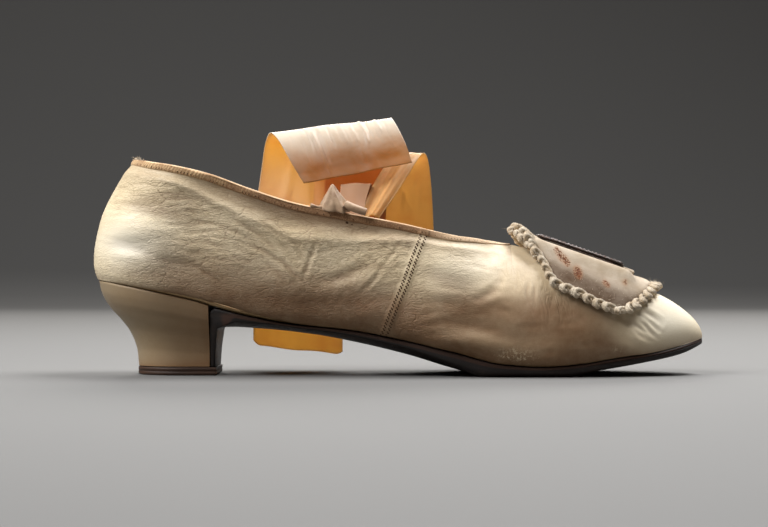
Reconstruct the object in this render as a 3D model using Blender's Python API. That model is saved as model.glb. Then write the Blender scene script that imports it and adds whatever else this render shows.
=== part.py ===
# Lady's heeled slipper on a straight last: kid upper, leather sole that runs
# down the heel breast, covered curved heel, felted vamp ornament with a cord
# braid and a buckle, and a silk ribbon tie.
# Frame: metres, +Z up, toe towards +X, floor at Z = 0, origin under the middle
# of the length. Sizes below are in millimetres.
import math
from collections import namedtuple

import bmesh
import bpy
from mathutils import Vector

for old in list(bpy.data.objects):
    bpy.data.objects.remove(old, do_unlink=True)

MM = 0.001

# ---------------------------------------------------------------- sizes
LENGTH = 240.0            # heel curve to toe tip
BACK_X = -LENGTH / 2.0
TIP_X = LENGTH / 2.0
WALL = 1.4                # leather and lining together
GAP = 0.3                 # between pieces that meet
THROAT_X = 44.0           # front end of the opening, on the ridge
HEEL_ROUND = 30.0         # length over which the heel rounds in, seen from above
HEEL_POWER = 2.2
TOE_ROUND = 42.0          # the same at the toe
TOE_POWER = 2.25
TOE_DROP = 26.0           # length over which the toe rounds down, seen from the side
BACK_BULGE_Z = 43.7       # height of the rearmost point of the counter
BACK_LEAN = 0.0098        # forward lean of the counter above that height
BACK_TUCK = 0.038         # forward tuck of the counter below it
LEAN_FADE = 100.0         # length over which the lean dies out
BREAST_X = -73.0          # plane of the heel breast
SEAT_W = 25.0             # half width of the heel seat
SOLE_EDGE = 0.8           # how far the sole edge stands out from the feather line
INSOLE_T = 1.8
TOP_PIECE_T = 3.2
TOP_PIECE_FRONT = -70.6

# The last, section by section along the foot. feather_z is the height of the
# line where upper meets sole, the other heights are measured up from it.
Section = namedtuple("Section", "x feather_z feather_w girth_w girth_h crown_h")
LAST = [
    Section(-120, 37.4, 25.0, 27.0, 14, 112),
    Section(-100, 33.8, 25.0, 27.8, 15, 106),
    Section(-80, 29.6, 24.6, 28.2, 16, 100),
    Section(-60, 23.8, 23.4, 28.2, 17, 95),
    Section(-40, 20.1, 21.2, 28.2, 18, 86),
    Section(-20, 18.1, 21.0, 29.2, 17, 76),
    Section(0, 14.4, 23.4, 31.4, 14, 66),
    Section(20, 9.8, 27.6, 34.0, 11, 57.5),
    Section(40, 5.0, 30.6, 35.0, 9, 47.2),
    Section(54, 4.1, 31.2, 35.0, 8, 45.0),
    Section(70, 5.2, 30.0, 33.0, 7, 39.3),
    Section(85, 7.5, 27.6, 29.6, 6, 31.0),
    Section(100, 9.5, 24.6, 25.8, 5, 24.0),
    Section(112, 12.2, 22.2, 22.8, 4, 19.0),
    Section(120, 14.4, 21.0, 21.2, 3, 15.5),
]

# Top line of the opening, from the back seam to the throat.
Collar = namedtuple("Collar", "x z")
COLLAR = [
    Collar(-120, 84.2), Collar(-110, 82.4), Collar(-100, 81.0),
    Collar(-80, 77.4), Collar(-60, 71.8), Collar(-40, 66.2),
    Collar(-20, 62.4), Collar(0, 58.8), Collar(20, 54.4), Collar(34, 52.2),
]

# Underside of the sole along its middle, and how much it rises to the edge:
# nearly flat in the tread, round in the waist.
Bottom = namedtuple("Bottom", "x z edge_rise roundness")
SOLE_BOTTOM = [
    Bottom(-67, 18.8, 2.4, 2.4),
    Bottom(-50, 17.6, 2.4, 2.4),
    Bottom(-33, 15.6, 2.4, 2.4),
    Bottom(-15, 12.2, 2.6, 2.4),
    Bottom(4, 7.6, 3.0, 2.6),
    Bottom(22, 2.4, 2.4, 4.0),
    Bottom(34, 0.0, 1.0, 30.0),
    Bottom(64, 0.0, 1.0, 30.0),
    Bottom(77, 2.0, 0.9, 7.0),
    Bottom(93, 4.6, 0.8, 6.0),
    Bottom(110, 8.0, 0.7, 5.0),
    Bottom(120, 12.0, 0.5, 4.0),
]

# The sole bends down the heel breast: inner face against the heel, outer face
# towards the toe.
Flap = namedtuple("Flap", "in_x in_z out_x out_z half_w")
BREAST_FLAP = [
    Flap(-71.0, 26.3, -68.2, 18.6, 23.6),
    Flap(-73.0, 24.0, -69.6, 17.8, 22.6),
    Flap(-73.0, 18.0, -70.1, 14.2, 20.0),
    Flap(-73.0, 11.0, -70.5, 9.5, 17.2),
    Flap(-73.0, 3.5, -70.8, 3.5, 15.8),
]

# Heel block: back curve and half width against the height at the back.
HeelRow = namedtuple("HeelRow", "z back_x half_w")
HEEL = [
    HeelRow(36.6, -118.0, 24.7), HeelRow(32.4, -117.1, 24.2),
    HeelRow(29.1, -115.6, 23.2), HeelRow(25.1, -112.8, 21.6),
    HeelRow(21.2, -109.2, 19.8), HeelRow(17.2, -106.1, 18.3),
    HeelRow(13.2, -104.1, 17.3), HeelRow(9.3, -102.9, 16.8),
    HeelRow(3.5, -102.3, 16.8),
]

# Vamp ornament: how far round the vamp it reaches from the ridge, in degrees.
Orn = namedtuple("Orn", "x drop")
ORNAMENT = [
    Orn(44.5, 8), Orn(47, 14), Orn(50, 20), Orn(54, 26), Orn(57, 34),
    Orn(59, 45), Orn(62, 50.5), Orn(70, 53.5), Orn(76, 58), Orn(84, 61),
    Orn(90.5, 51), Orn(96, 30), Orn(99.2, 5),
]
ORNAMENT_T = 2.2
ORNAMENT_CLEAR = 0.5
ORNAMENT_LIFT = 4.7       # stands off the vamp at the throat
ORNAMENT_LIFT_X = 17.0
BRAID_R = 1.9

BUCKLE_L, BUCKLE_W, BUCKLE_BAR, BUCKLE_T = 36.5, 24.0, 4.5, 1.4
BUCKLE_X = 70.3

# Ribbon strips, a row for each fold: left and right edge, depth, heights.
Fold = namedtuple("Fold", "left_x right_x y left_z right_z")
TIE_ARCH = [
    Fold(-57.5, -5.0, 19.5, 63, 57), Fold(-56.5, -4.6, 19.2, 72, 70),
    Fold(-55.0, -4.2, 17.8, 82, 84), Fold(-53.4, -3.6, 14.0, 91, 95.5),
    Fold(-51.2, -3.0, 8.5, 95.6, 101.2), Fold(-48.2, -1.4, 3.0, 93.6, 99.6),
    Fold(-44.8, 1.0, -1.6, 88.0, 95.0), Fold(-41.2, 3.4, -5.0, 81.6, 89.4),
    Fold(-37.0, 5.4, -7.4, 74.8, 83.0),
]
TIE_LOOP = [
    Fold(-8.0, 14.6, 21.4, 56, 52), Fold(-7.8, 14.2, 21.2, 66, 64),
    Fold(-7.0, 13.4, 20.4, 76.5, 76), Fold(-3.0, 12.2, 17.6, 84.4, 85),
    Fold(-1.8, 10.2, 10.6, 87.4, 87.8), Fold(-4.6, 7.4, 3.0, 83.0, 85),
    Fold(-9.0, 3.6, -3.4, 75.6, 79), Fold(-12.4, -1.8, -10.0, 68.2, 70.4),
    Fold(-15.4, -7.6, -16.6, 61.6, 61.6),
]
RIBBON_T = 0.5
TAIL_LEFT, TAIL_RIGHT = -59.0, -22.5      # end that hangs on the far side
TAIL_FOOT_LEFT, TAIL_FOOT_RIGHT = 10.0, 6.4


# ---------------------------------------------------------------- curves
def smooth(rows, column, x):
    """Monotone cubic through one column of a table, against its first column."""
    xs = [r[0] for r in rows]
    ys = [getattr(r, column) for r in rows]
    sign = 1.0 if xs[-1] > xs[0] else -1.0
    xs = [sign * v for v in xs]
    x = min(max(sign * x, xs[0]), xs[-1])
    slope = [(ys[i + 1] - ys[i]) / (xs[i + 1] - xs[i]) for i in range(len(xs) - 1)]
    tangent = [slope[0]]
    for i in range(1, len(slope)):
        a, b = slope[i - 1], slope[i]
        tangent.append(0.0 if a * b <= 0 else 2.0 * a * b / (a + b))
    tangent.append(slope[-1])
    k = max(i for i in range(len(xs) - 1) if x >= xs[i])
    h = xs[k + 1] - xs[k]
    t = (x - xs[k]) / h
    return ((2 * t**3 - 3 * t**2 + 1) * ys[k] + (t**3 - 2 * t**2 + t) * h * tangent[k]
            + (3 * t**2 - 2 * t**3) * ys[k + 1] + (t**3 - t**2) * h * tangent[k + 1])


def ease(t):
    t = min(max(t, 0.0), 1.0)
    return t * t * (3.0 - 2.0 * t)


def nose(d, reach, power):
    """Rounded end of an outline, at distance d from its tip."""
    d = min(max(d, 0.0), reach)
    return (1.0 - (1.0 - d / reach) ** power) ** (1.0 / power)


# ---------------------------------------------------------------- the last
def ends(x):
    return (nose(x - BACK_X, HEEL_ROUND, HEEL_POWER)
            * nose(TIP_X - x, TOE_ROUND, TOE_POWER))


def feather_z(x):
    return smooth(LAST, "feather_z", x)


def feather_w(x):
    return smooth(LAST, "feather_w", x) * ends(x)


def section(x):
    """Feather height and width, girth height and width, crown height at x."""
    drop = nose(TIP_X - x, TOE_DROP, 2.0)
    zf = feather_z(x)
    zg = zf + smooth(LAST, "girth_h", x) * drop
    zc = zf + smooth(LAST, "crown_h", x) * drop
    return zf, feather_w(x), zg, smooth(LAST, "girth_w", x) * ends(x), zc


def lean(x, z):
    away = z - BACK_BULGE_Z
    shift = (BACK_LEAN if away > 0 else BACK_TUCK) * away * away
    return shift * (1.0 - ease((x - BACK_X) / LEAN_FADE))


def skin(x, q):
    """Outer face of the upper. q = -1 feather line, 0 girth, 1 crown; y >= 0."""
    zf, wf, zg, wg, zc = section(x)
    if q < 0:
        b = (1.0 + q) * math.pi / 2
        y = wf + (wg - wf) * math.sin(b)
        z = zg - (zg - zf) * math.cos(b)
    else:
        y = wg * math.cos(q * math.pi / 2)
        z = zg + (zc - zg) * math.sin(q * math.pi / 2)
    return Vector((x + lean(x, z), y, z))


def skin_normal(x, q):
    e = 0.02
    x = min(max(x, BACK_X + 0.4), TIP_X - 0.4)
    q = min(max(q, -0.97), 0.999)
    along = skin(x + e, q) - skin(x - e, q)
    up = skin(x, q + 0.002) - skin(x, q - 0.002)
    n = up.cross(along)
    if n.length < 1e-9:
        return Vector((1.0, 0.0, 0.0))
    n.normalize()
    return n if n.y >= -0.05 or n.z > 0.3 else -n


def collar_q(x):
    """Where the opening cuts the section at x."""
    if x >= THROAT_X:
        return 1.0
    zf, wf, zg, wg, zc = section(x)
    throat = section(THROAT_X)[4]
    if x <= 34.0:
        z = smooth(COLLAR, "z", x)
    else:
        z = 52.2 + (throat - 52.2) * ease((x - 34.0) / (THROAT_X - 34.0))
    return math.asin(min(1.0, (z - zg) / (zc - zg))) * 2.0 / math.pi


def off_skin(x, q, out):
    return skin(x, q) + skin_normal(x, q) * out


# ---------------------------------------------------------------- mesh tools
def material(name, rgb, rough, metal=0.0):
    m = bpy.data.materials.new(name)
    m.use_nodes = True
    b = m.node_tree.nodes["Principled BSDF"]
    b.inputs["Base Color"].default_value = (*rgb, 1.0)
    b.inputs["Roughness"].default_value = rough
    b.inputs["Metallic"].default_value = metal
    m.diffuse_color = (*rgb, 1.0)
    return m


def solid(name, points, faces, mat):
    """One closed body from millimetre points, doubles joined, faces outward."""
    bm = bmesh.new()
    vs = [bm.verts.new(Vector(p) * MM) for p in points]
    for f in faces:
        try:
            bm.faces.new([vs[i] for i in f])
        except ValueError:
            pass
    bmesh.ops.remove_doubles(bm, verts=bm.verts, dist=1e-5)
    bmesh.ops.dissolve_degenerate(bm, dist=1e-7, edges=bm.edges)
    bmesh.ops.triangulate(bm, faces=bm.faces)
    bmesh.ops.recalc_face_normals(bm, faces=bm.faces)
    me = bpy.data.meshes.new(name)
    bm.to_mesh(me)
    bm.free()
    me.shade_smooth()
    me.set_sharp_from_angle(angle=math.radians(40))
    me.materials.append(mat)
    ob = bpy.data.objects.new(name, me)
    bpy.context.scene.collection.objects.link(ob)
    return ob


def quads(rows, cols, at, wrap=False):
    out = []
    for i in range(rows - 1):
        for j in range(cols if wrap else cols - 1):
            out.append((at(i, j), at(i + 1, j), at(i + 1, (j + 1) % cols), at(i, (j + 1) % cols)))
    return out


def sheet_solid(name, top, under, mat):
    """Closed body between two grids of points of the same size."""
    n, m = len(top), len(top[0])
    pts = [p for row in top for p in row] + [p for row in under for p in row]
    a = lambda i, j: i * m + j
    b = lambda i, j: n * m + i * m + j
    faces = quads(n, m, a) + [tuple(reversed(f)) for f in quads(n, m, b)]
    for i in range(n - 1):
        for j in (0, m - 1):
            faces.append((a(i, j), a(i + 1, j), b(i + 1, j), b(i, j)))
    for j in range(m - 1):
        for i in (0, n - 1):
            faces.append((a(i, j), a(i, j + 1), b(i, j + 1), b(i, j)))
    return solid(name, pts, faces, mat)


def ring_solid(name, rings, mat, closed=False):
    """Closed body through rings of points of the same count."""
    n, m = len(rings), len(rings[0])
    pts = [p for r in rings for p in r]
    at = lambda i, j: (i % n) * m + j
    faces = quads(n + 1 if closed else n, m, at, wrap=True)
    if not closed:
        faces.append(tuple(at(0, j) for j in range(m)))
        faces.append(tuple(at(n - 1, j) for j in reversed(range(m))))
    return solid(name, pts, faces, mat)


def spread(a, b, n):
    return [a + (b - a) * i / (n - 1) for i in range(n)]


def rounded_start(tip, reach, n):
    """n stations from a rounded tip inward, close together at the tip."""
    return [tip + reach * (1.0 - math.cos(math.pi / 2 * i / n)) for i in range(n)]


KID = material("kid_leather", (0.66, 0.56, 0.40), 0.55)
HEEL_KID = material("heel_cover_leather", (0.64, 0.54, 0.39), 0.5)
SOLE = material("sole_leather", (0.045, 0.028, 0.018), 0.5)
LIFT = material("top_piece_leather", (0.09, 0.05, 0.03), 0.6)
SOCK = material("insole_leather", (0.50, 0.38, 0.24), 0.7)
FELT = material("ornament_felt", (0.62, 0.52, 0.42), 0.9)
CORD = material("braid_cord", (0.66, 0.56, 0.44), 0.85)
STEEL = material("dark_steel", (0.04, 0.038, 0.036), 0.35, 1.0)
PINK = material("pink_ribbon", (0.60, 0.42, 0.34), 0.5)
SILK = material("cream_silk", (0.70, 0.52, 0.34), 0.45)

# ---------------------------------------------------------------- upper
COLUMNS = (rounded_start(BACK_X, HEEL_ROUND, 8) + spread(-90.0, 30.0, 16)
           + [34.0, 38.0, 41.0, 43.0, 43.8, THROAT_X, 46.5]
           + spread(50.0, 82.0, 6)
           + [2 * TIP_X - x for x in reversed([TIP_X + (x - BACK_X) for x in
              rounded_start(BACK_X, 34.0, 10)])])
LOW_ROWS, HIGH_ROWS = 3, 8


def upper():
    qs = lambda x: ([-1.0 + i / LOW_ROWS for i in range(LOW_ROWS)]
                    + spread(0.0, collar_q(x), HIGH_ROWS))
    rows = LOW_ROWS + HIGH_ROWS
    outer, inner = [], []
    for x in COLUMNS:
        o, n = [], []
        for j, q in enumerate(qs(x)):
            p = skin(x, q)
            d = skin_normal(x, q)
            if j == 0:
                d.z = 0.0
            if x <= BACK_X or x >= TIP_X or q >= 1.0:
                d.y = 0.0
            if x >= TIP_X:
                d = Vector((1.0, 0.0, 0.0))
            d.normalize()
            o.append(p)
            n.append(p - d * WALL)
        outer.append(o)
        inner.append(n)
    cols = len(COLUMNS)
    throat = COLUMNS.index(THROAT_X)
    pts, faces = [], []
    for side in (-1.0, 1.0):
        base = len(pts)
        for grid in (outer, inner):
            pts += [(p.x, p.y * side, p.z) for col in grid for p in col]
        a = lambda i, j: base + i * rows + j
        b = lambda i, j: base + cols * rows + i * rows + j
        faces += quads(cols, rows, a) + quads(cols, rows, b)
        for i in range(cols - 1):
            faces.append((a(i, 0), a(i + 1, 0), b(i + 1, 0), b(i, 0)))
            if i < throat:
                faces.append((a(i, rows - 1), a(i + 1, rows - 1),
                              b(i + 1, rows - 1), b(i, rows - 1)))
    return solid("upper", pts, faces, KID)


upper()

# ---------------------------------------------------------------- outsole
ACROSS = [-1.0, -0.93, -0.8, -0.5, 0.0, 0.5, 0.8, 0.93, 1.0]


def sole_half_w(x):
    return (smooth(LAST, "feather_w", x) + SOLE_EDGE) * nose(TIP_X - x, TOE_ROUND, TOE_POWER)


def sole_ring(x):
    w = sole_half_w(x)
    top = feather_z(x) - GAP
    mid = smooth(SOLE_BOTTOM, "z", x)
    rise = min(smooth(SOLE_BOTTOM, "edge_rise", x), top - mid - 1.2)
    power = smooth(SOLE_BOTTOM, "roundness", x)
    under = [(x, f * w, mid + rise * abs(f) ** power) for f in ACROSS]
    edge = [(x, f * w, top) for f in reversed(ACROSS)]
    return under + edge


def flap_ring(row):
    under = [(row.out_x, f * row.half_w, row.out_z) for f in ACROSS]
    edge = [(row.in_x, f * row.half_w, row.in_z) for f in reversed(ACROSS)]
    return under + edge


def outsole():
    rings = [flap_ring(r) for r in reversed(BREAST_FLAP)]
    stations = spread(-63.0, 24.0, 12) + [29.0, 34.0, 44.0, 54.0, 64.0, 70.0, 77.0, 84.0]
    stations += [TIP_X - 30.0 * (1.0 - math.cos(math.pi / 2 * i / 8)) for i in range(7, -1, -1)]
    rings += [sole_ring(x) for x in stations]
    return ring_solid("outsole", rings, SOLE)


outsole()

# ---------------------------------------------------------------- insole
def insole():
    start, stop = BACK_X + WALL + 2.2, TIP_X - WALL - 2.6
    mid = spread(start + HEEL_ROUND, stop - 34.0, 14)
    stations = rounded_start(start, HEEL_ROUND, 7) + mid
    stations += [stop - 34.0 * (1.0 - math.cos(math.pi / 2 * i / 8)) for i in range(7, -1, -1)]
    top, under = [], []
    for x in stations:
        w = max(0.0, (smooth(LAST, "feather_w", x) - WALL - 0.6)
                * nose(x - start, HEEL_ROUND, HEEL_POWER) * nose(stop - x, TOE_ROUND, TOE_POWER))
        px = x + lean(x, feather_z(x))
        z = feather_z(x)
        top.append([(px, f * w, z + INSOLE_T) for f in ACROSS[::2]])
        under.append([(px, f * w, z) for f in ACROSS[::2]])
    return sheet_solid("insole", top, under, SOCK)


insole()


# ---------------------------------------------------------------- heel
def d_outline(back_x, front_x, half_w, height):
    """D-shaped ring: the seat's outline stretched between two ends."""
    stations = rounded_start(BACK_X, HEEL_ROUND, 8) + spread(BACK_X + HEEL_ROUND, BREAST_X, 4)
    near, far = [], []
    for s in stations:
        x = back_x + (s - BACK_X) / (BREAST_X - BACK_X) * (front_x - back_x)
        y = half_w / SEAT_W * feather_w(s)
        near.append((x, -y, height(s)))
        far.append((x, y, height(s)))
    return near + far[::-1]


def ladder_solid(name, rings, mat):
    """Like ring_solid, with caps laid across from side to side."""
    n, m = len(rings), len(rings[0])
    pts = [p for r in rings for p in r]
    at = lambda i, j: i * m + j
    faces = quads(n, m, at, wrap=True)
    for i in (0, n - 1):
        faces += [(at(i, j), at(i, j + 1), at(i, m - 2 - j), at(i, m - 1 - j))
                  for j in range(m // 2 - 1)]
    return solid(name, pts, faces, mat)


def heel():
    seat, foot = HEEL[0].z, HEEL[-1].z
    rings = []
    for row in HEEL:
        t = (seat - row.z) / (seat - foot)
        rings.append(d_outline(row.back_x, BREAST_X - GAP, row.half_w,
                               lambda s: (feather_z(s) - GAP) * (1 - t) + foot * t))
    return ladder_solid("heel", rings, HEEL_KID)


def heel_top_piece():
    w, back = HEEL[-1].half_w, HEEL[-1].back_x
    flat = lambda z: (lambda s: z)
    rings = [d_outline(back + 0.3, TOP_PIECE_FRONT - 0.2, w - 0.2, flat(0.0)),
             d_outline(back - 0.2, TOP_PIECE_FRONT, w + 0.2, flat(0.5)),
             d_outline(back - 0.2, TOP_PIECE_FRONT, w + 0.2, flat(TOP_PIECE_T))]
    return ladder_solid("heel_top_piece", rings, LIFT)


heel()
heel_top_piece()


# ---------------------------------------------------------------- ornament
def ornament_lift(x):
    return ORNAMENT_LIFT * (1.0 - ease((x - ORNAMENT[0].x) / ORNAMENT_LIFT_X))


def vamp(x, f, drop, out):
    """Point over the vamp, f from -1 (near edge) to 1 (far edge)."""
    p = off_skin(x, 1.0 - abs(f) * drop / 90.0, out)
    if abs(f) < 1e-6:
        p.y = 0.0
    return Vector((p.x, math.copysign(p.y, f) if f else 0.0, p.z))


ORN_X = ([ORNAMENT[0].x, 45.2] + spread(46.2, 94.0, 14) + [96.2, 97.9, 98.8, ORNAMENT[-1].x])


def vamp_ornament():
    fs = spread(-1.0, 1.0, 11)
    rows = lambda thick: [[vamp(x, f, smooth(ORNAMENT, "drop", x),
                                ORNAMENT_CLEAR + ornament_lift(x) + thick) for f in fs] for x in ORN_X]
    return sheet_solid("vamp_ornament", rows(ORNAMENT_T), rows(0.0), FELT)


def ornament_braid():
    def edge(x, side, out):
        return vamp(x, side, smooth(ORNAMENT, "drop", x), out)
    walk = [(x, -1.0) for x in ORN_X] + [(x, 1.0) for x in reversed(ORN_X)]
    mid = [edge(x, s, max(ORNAMENT_CLEAR + ORNAMENT_T / 2 + 0.66 * ornament_lift(x), BRAID_R + 0.6))
           for x, s in walk]
    base = [edge(x, s, 0.0) for x, s in walk]
    n = len(walk)
    rings = []
    for i in range(n):
        ahead = (mid[(i + 1) % n] - mid[i - 1]).normalized()
        up = (mid[i] - base[i]).normalized()
        out = ahead.cross(up).normalized()
        if out.dot(mid[i] - Vector((74.0, 0.0, mid[i].z))) < 0:
            out = -out
        centre = mid[i] + out * (BRAID_R + 0.5)
        rings.append([centre + out * (BRAID_R * math.cos(k * math.pi / 4))
                      + up * (BRAID_R * math.sin(k * math.pi / 4)) for k in range(8)])
    return ring_solid("ornament_braid", rings, CORD, closed=True)


vamp_ornament()
ornament_braid()

# ---------------------------------------------------------------- buckle
PAD_TOP = ORNAMENT_CLEAR + ORNAMENT_T
BAND_T = 0.6
BAND_UNDER = PAD_TOP + 0.3
BUCKLE_MID = BAND_UNDER + BAND_T + 0.6 + BUCKLE_T / 2


def buckle():
    """Flat frame with rounded corners, tangent to the ridge."""
    here = off_skin(BUCKLE_X, 1.0, BUCKLE_MID)
    along = (skin(BUCKLE_X + 8, 1.0) - skin(BUCKLE_X - 8, 1.0)).normalized()
    across = Vector((0.0, 1.0, 0.0))
    up = along.cross(across).normalized()
    here.y = 0.0

    def loop(half_l, half_w, rise):
        pts = []
        for k in range(32):
            c, s = math.cos(k * math.pi / 16), math.sin(k * math.pi / 16)
            u = half_l * math.copysign(abs(c) ** 0.62, c)
            v = half_w * math.copysign(abs(s) ** 0.62, s)
            pts.append(here + along * u + across * v + up * rise)
        return pts
    l, w, b, t = BUCKLE_L / 2, BUCKLE_W / 2, BUCKLE_BAR, BUCKLE_T / 2
    loops = [loop(l, w, -t), loop(l, w, t * 0.4), loop(l - b / 2, w - b / 2, t),
             loop(l - b, w - b, t * 0.4), loop(l - b, w - b, -t)]
    rings = [[lp[k] for lp in loops] for k in range(32)]
    return ring_solid("buckle", rings, STEEL, closed=True)


def band(name, x0, x1, half_w, mat):
    rows = lambda out: [[vamp(x, f, math.degrees(half_w / 30.0), out) for f in spread(-1, 1, 5)]
                        for x in spread(x0, x1, 6)]
    return sheet_solid(name, rows(BAND_UNDER + BAND_T), rows(BAND_UNDER), mat)


buckle()
band("buckle_ribbon", 62.0, 84.0, 7.0, PINK)
band("buckle_tab", 84.4, 91.5, 4.5, CORD)


# ---------------------------------------------------------------- ribbon tie
def along_folds(rows, column, t):
    """Smooth curve through one column, t counted in rows."""
    v = [getattr(r, column) for r in rows]
    i = min(int(t), len(v) - 2)
    u = t - i
    a, b, c, d = v[max(i - 1, 0)], v[i], v[i + 1], v[min(i + 2, len(v) - 1)]
    return 0.5 * (2 * b + (c - a) * u + (2 * a - 5 * b + 4 * c - d) * u * u
                  + (3 * b - a - 3 * c + d) * u ** 3)


def ribbon(name, grid, mat, thick=RIBBON_T):
    """Thin closed strip about a grid of points."""
    n, m = len(grid), len(grid[0])
    top, under = [], []
    for i in range(n):
        a, b = [], []
        for j in range(m):
            down = grid[min(i + 1, n - 1)][j] - grid[max(i - 1, 0)][j]
            side = grid[i][min(j + 1, m - 1)] - grid[i][max(j - 1, 0)]
            k = down.cross(side).normalized() * (thick / 2)
            a.append(grid[i][j] + k)
            b.append(grid[i][j] - k)
        top.append(a)
        under.append(b)
    return sheet_solid(name, top, under, mat)


def fold_strip(name, rows, mat):
    grid = []
    for t in spread(0.0, len(rows) - 1.0, 2 * len(rows) - 1):
        at = lambda c: along_folds(rows, c, t)
        grid.append([Vector((at("left_x") + (at("right_x") - at("left_x")) * w, at("y"),
                             at("left_z") + (at("right_z") - at("left_z")) * w))
                     for w in spread(0.0, 1.0, 5)])
    return ribbon(name, grid, mat)


def tie_tail():
    """Ribbon end over the far collar, then hanging clear of the waist."""
    clear = 0.7
    columns = []
    for x in spread(TAIL_LEFT, TAIL_RIGHT, 7):
        t = (x - TAIL_LEFT) / (TAIL_RIGHT - TAIL_LEFT)
        q = collar_q(x)
        foot = TAIL_FOOT_LEFT + (TAIL_FOOT_RIGHT - TAIL_FOOT_LEFT) * t
        pts = [off_skin(x, q - 0.10, -WALL - clear), off_skin(x, q, -WALL - clear)]
        rim = off_skin(x, q, -WALL / 2)
        pts.append(rim + Vector((0.0, -0.5, 1.0)))
        pts.append(rim + Vector((0.0, 0.6, 1.0)))
        pts += [off_skin(x, q * u, clear) for u in (0.97, 0.8, 0.6, 0.4, 0.2, 0.0)]
        low = pts[-1]
        pts += [Vector((low.x, low.y + 0.4, low.z + (foot - low.z) * u)) for u in (0.33, 0.66, 1.0)]
        columns.append(pts)
    grid = [[c[i] for c in columns] for i in range(len(columns[0]))]
    return ribbon("tie_tail", grid, SILK)


Lump = namedtuple("Lump", "z half_x half_y shift_x")
KNOT = [Lump(65.4, 3.4, 2.4, 0.6), Lump(66.2, 5.2, 3.4, 0.4), Lump(67.6, 5.4, 3.6, 0.2),
        Lump(69.6, 4.3, 3.1, 0.0), Lump(71.8, 2.8, 2.2, -0.2), Lump(73.6, 1.4, 1.2, -0.4),
        Lump(74.2, 0.5, 0.5, -0.4)]
KNOT_X, KNOT_Y = -25.0, -24.4


def tie_knot():
    rings = [[(KNOT_X + r.shift_x + r.half_x * math.cos(k * math.pi / 8),
               KNOT_Y + r.half_y * math.sin(k * math.pi / 8), r.z) for k in range(16)] for r in KNOT]
    return ring_solid("tie_knot", rings, SILK)


Roll = namedtuple("Roll", "x y z r")
ROLL = [Roll(-18.6, -24.6, 65.9, 1.5), Roll(-16.6, -24.9, 65.3, 1.6), Roll(-14.6, -25.1, 64.6, 1.5),
        Roll(-12.6, -25.3, 63.8, 1.3)]


def tie_roll():
    rings = [[(r.x, r.y + r.r * math.cos(k * math.pi / 5), r.z + r.r * math.sin(k * math.pi / 5))
              for k in range(10)] for r in ROLL]
    return ring_solid("tie_roll", rings, SILK)


fold_strip("tie_arch", TIE_ARCH, SILK)
fold_strip("tie_loop", TIE_LOOP, SILK)
tie_knot()
tie_roll()
tie_tail()
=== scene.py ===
import math
from collections import namedtuple

import bmesh
import bpy
import numpy as np
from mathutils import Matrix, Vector
from mathutils.bvhtree import BVHTree


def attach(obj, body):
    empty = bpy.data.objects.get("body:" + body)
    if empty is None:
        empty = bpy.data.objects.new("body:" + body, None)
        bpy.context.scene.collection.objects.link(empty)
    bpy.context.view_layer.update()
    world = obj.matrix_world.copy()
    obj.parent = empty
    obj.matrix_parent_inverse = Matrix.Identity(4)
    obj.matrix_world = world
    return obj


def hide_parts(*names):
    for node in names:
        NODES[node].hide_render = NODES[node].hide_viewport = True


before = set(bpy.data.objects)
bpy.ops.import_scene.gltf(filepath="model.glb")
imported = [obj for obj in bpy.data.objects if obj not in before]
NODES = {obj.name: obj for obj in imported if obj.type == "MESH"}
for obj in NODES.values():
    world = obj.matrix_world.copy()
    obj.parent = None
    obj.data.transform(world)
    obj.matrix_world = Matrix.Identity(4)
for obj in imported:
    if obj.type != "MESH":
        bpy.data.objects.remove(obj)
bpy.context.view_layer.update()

MM = 0.001
SCENE = bpy.context.scene
PI = math.pi

# ------------------------------------------------------------------ camera
# Level with the floor, square to the shoe's side, as in the photograph.
CAM_X, CAM_DIST, CAM_Z, CAM_LENS = -5.6, 900.0, 43.5, 106.7
cam_data = bpy.data.cameras.new("camera")
cam_data.lens = CAM_LENS
cam_data.sensor_width = 36.0
cam_data.sensor_fit = "HORIZONTAL"
cam_data.clip_start = 0.01
cam_data.clip_end = 50.0
cam = bpy.data.objects.new("camera", cam_data)
cam.location = (CAM_X * MM, -CAM_DIST * MM, CAM_Z * MM)
cam.rotation_euler = (PI / 2, 0.0, 0.0)
SCENE.collection.objects.link(cam)
SCENE.camera = cam

# ------------------------------------------------------------------ the last
LENGTH = 240.0
BACK_X, TIP_X = -LENGTH / 2, LENGTH / 2
WALL = 1.4
GAP = 0.3
THROAT_X = 44.0
HEEL_ROUND, HEEL_POWER = 30.0, 2.2
TOE_ROUND, TOE_POWER, TOE_DROP = 42.0, 2.25, 26.0
BACK_BULGE_Z, BACK_LEAN, BACK_TUCK, LEAN_FADE = 43.7, 0.0098, 0.038, 100.0
BREAST_X = -73.0
SEAT_W = 25.0
SOLE_EDGE = 0.8
INSOLE_T = 1.8
TOP_PIECE_T = 3.2
TOP_PIECE_FRONT = -70.6


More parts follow.
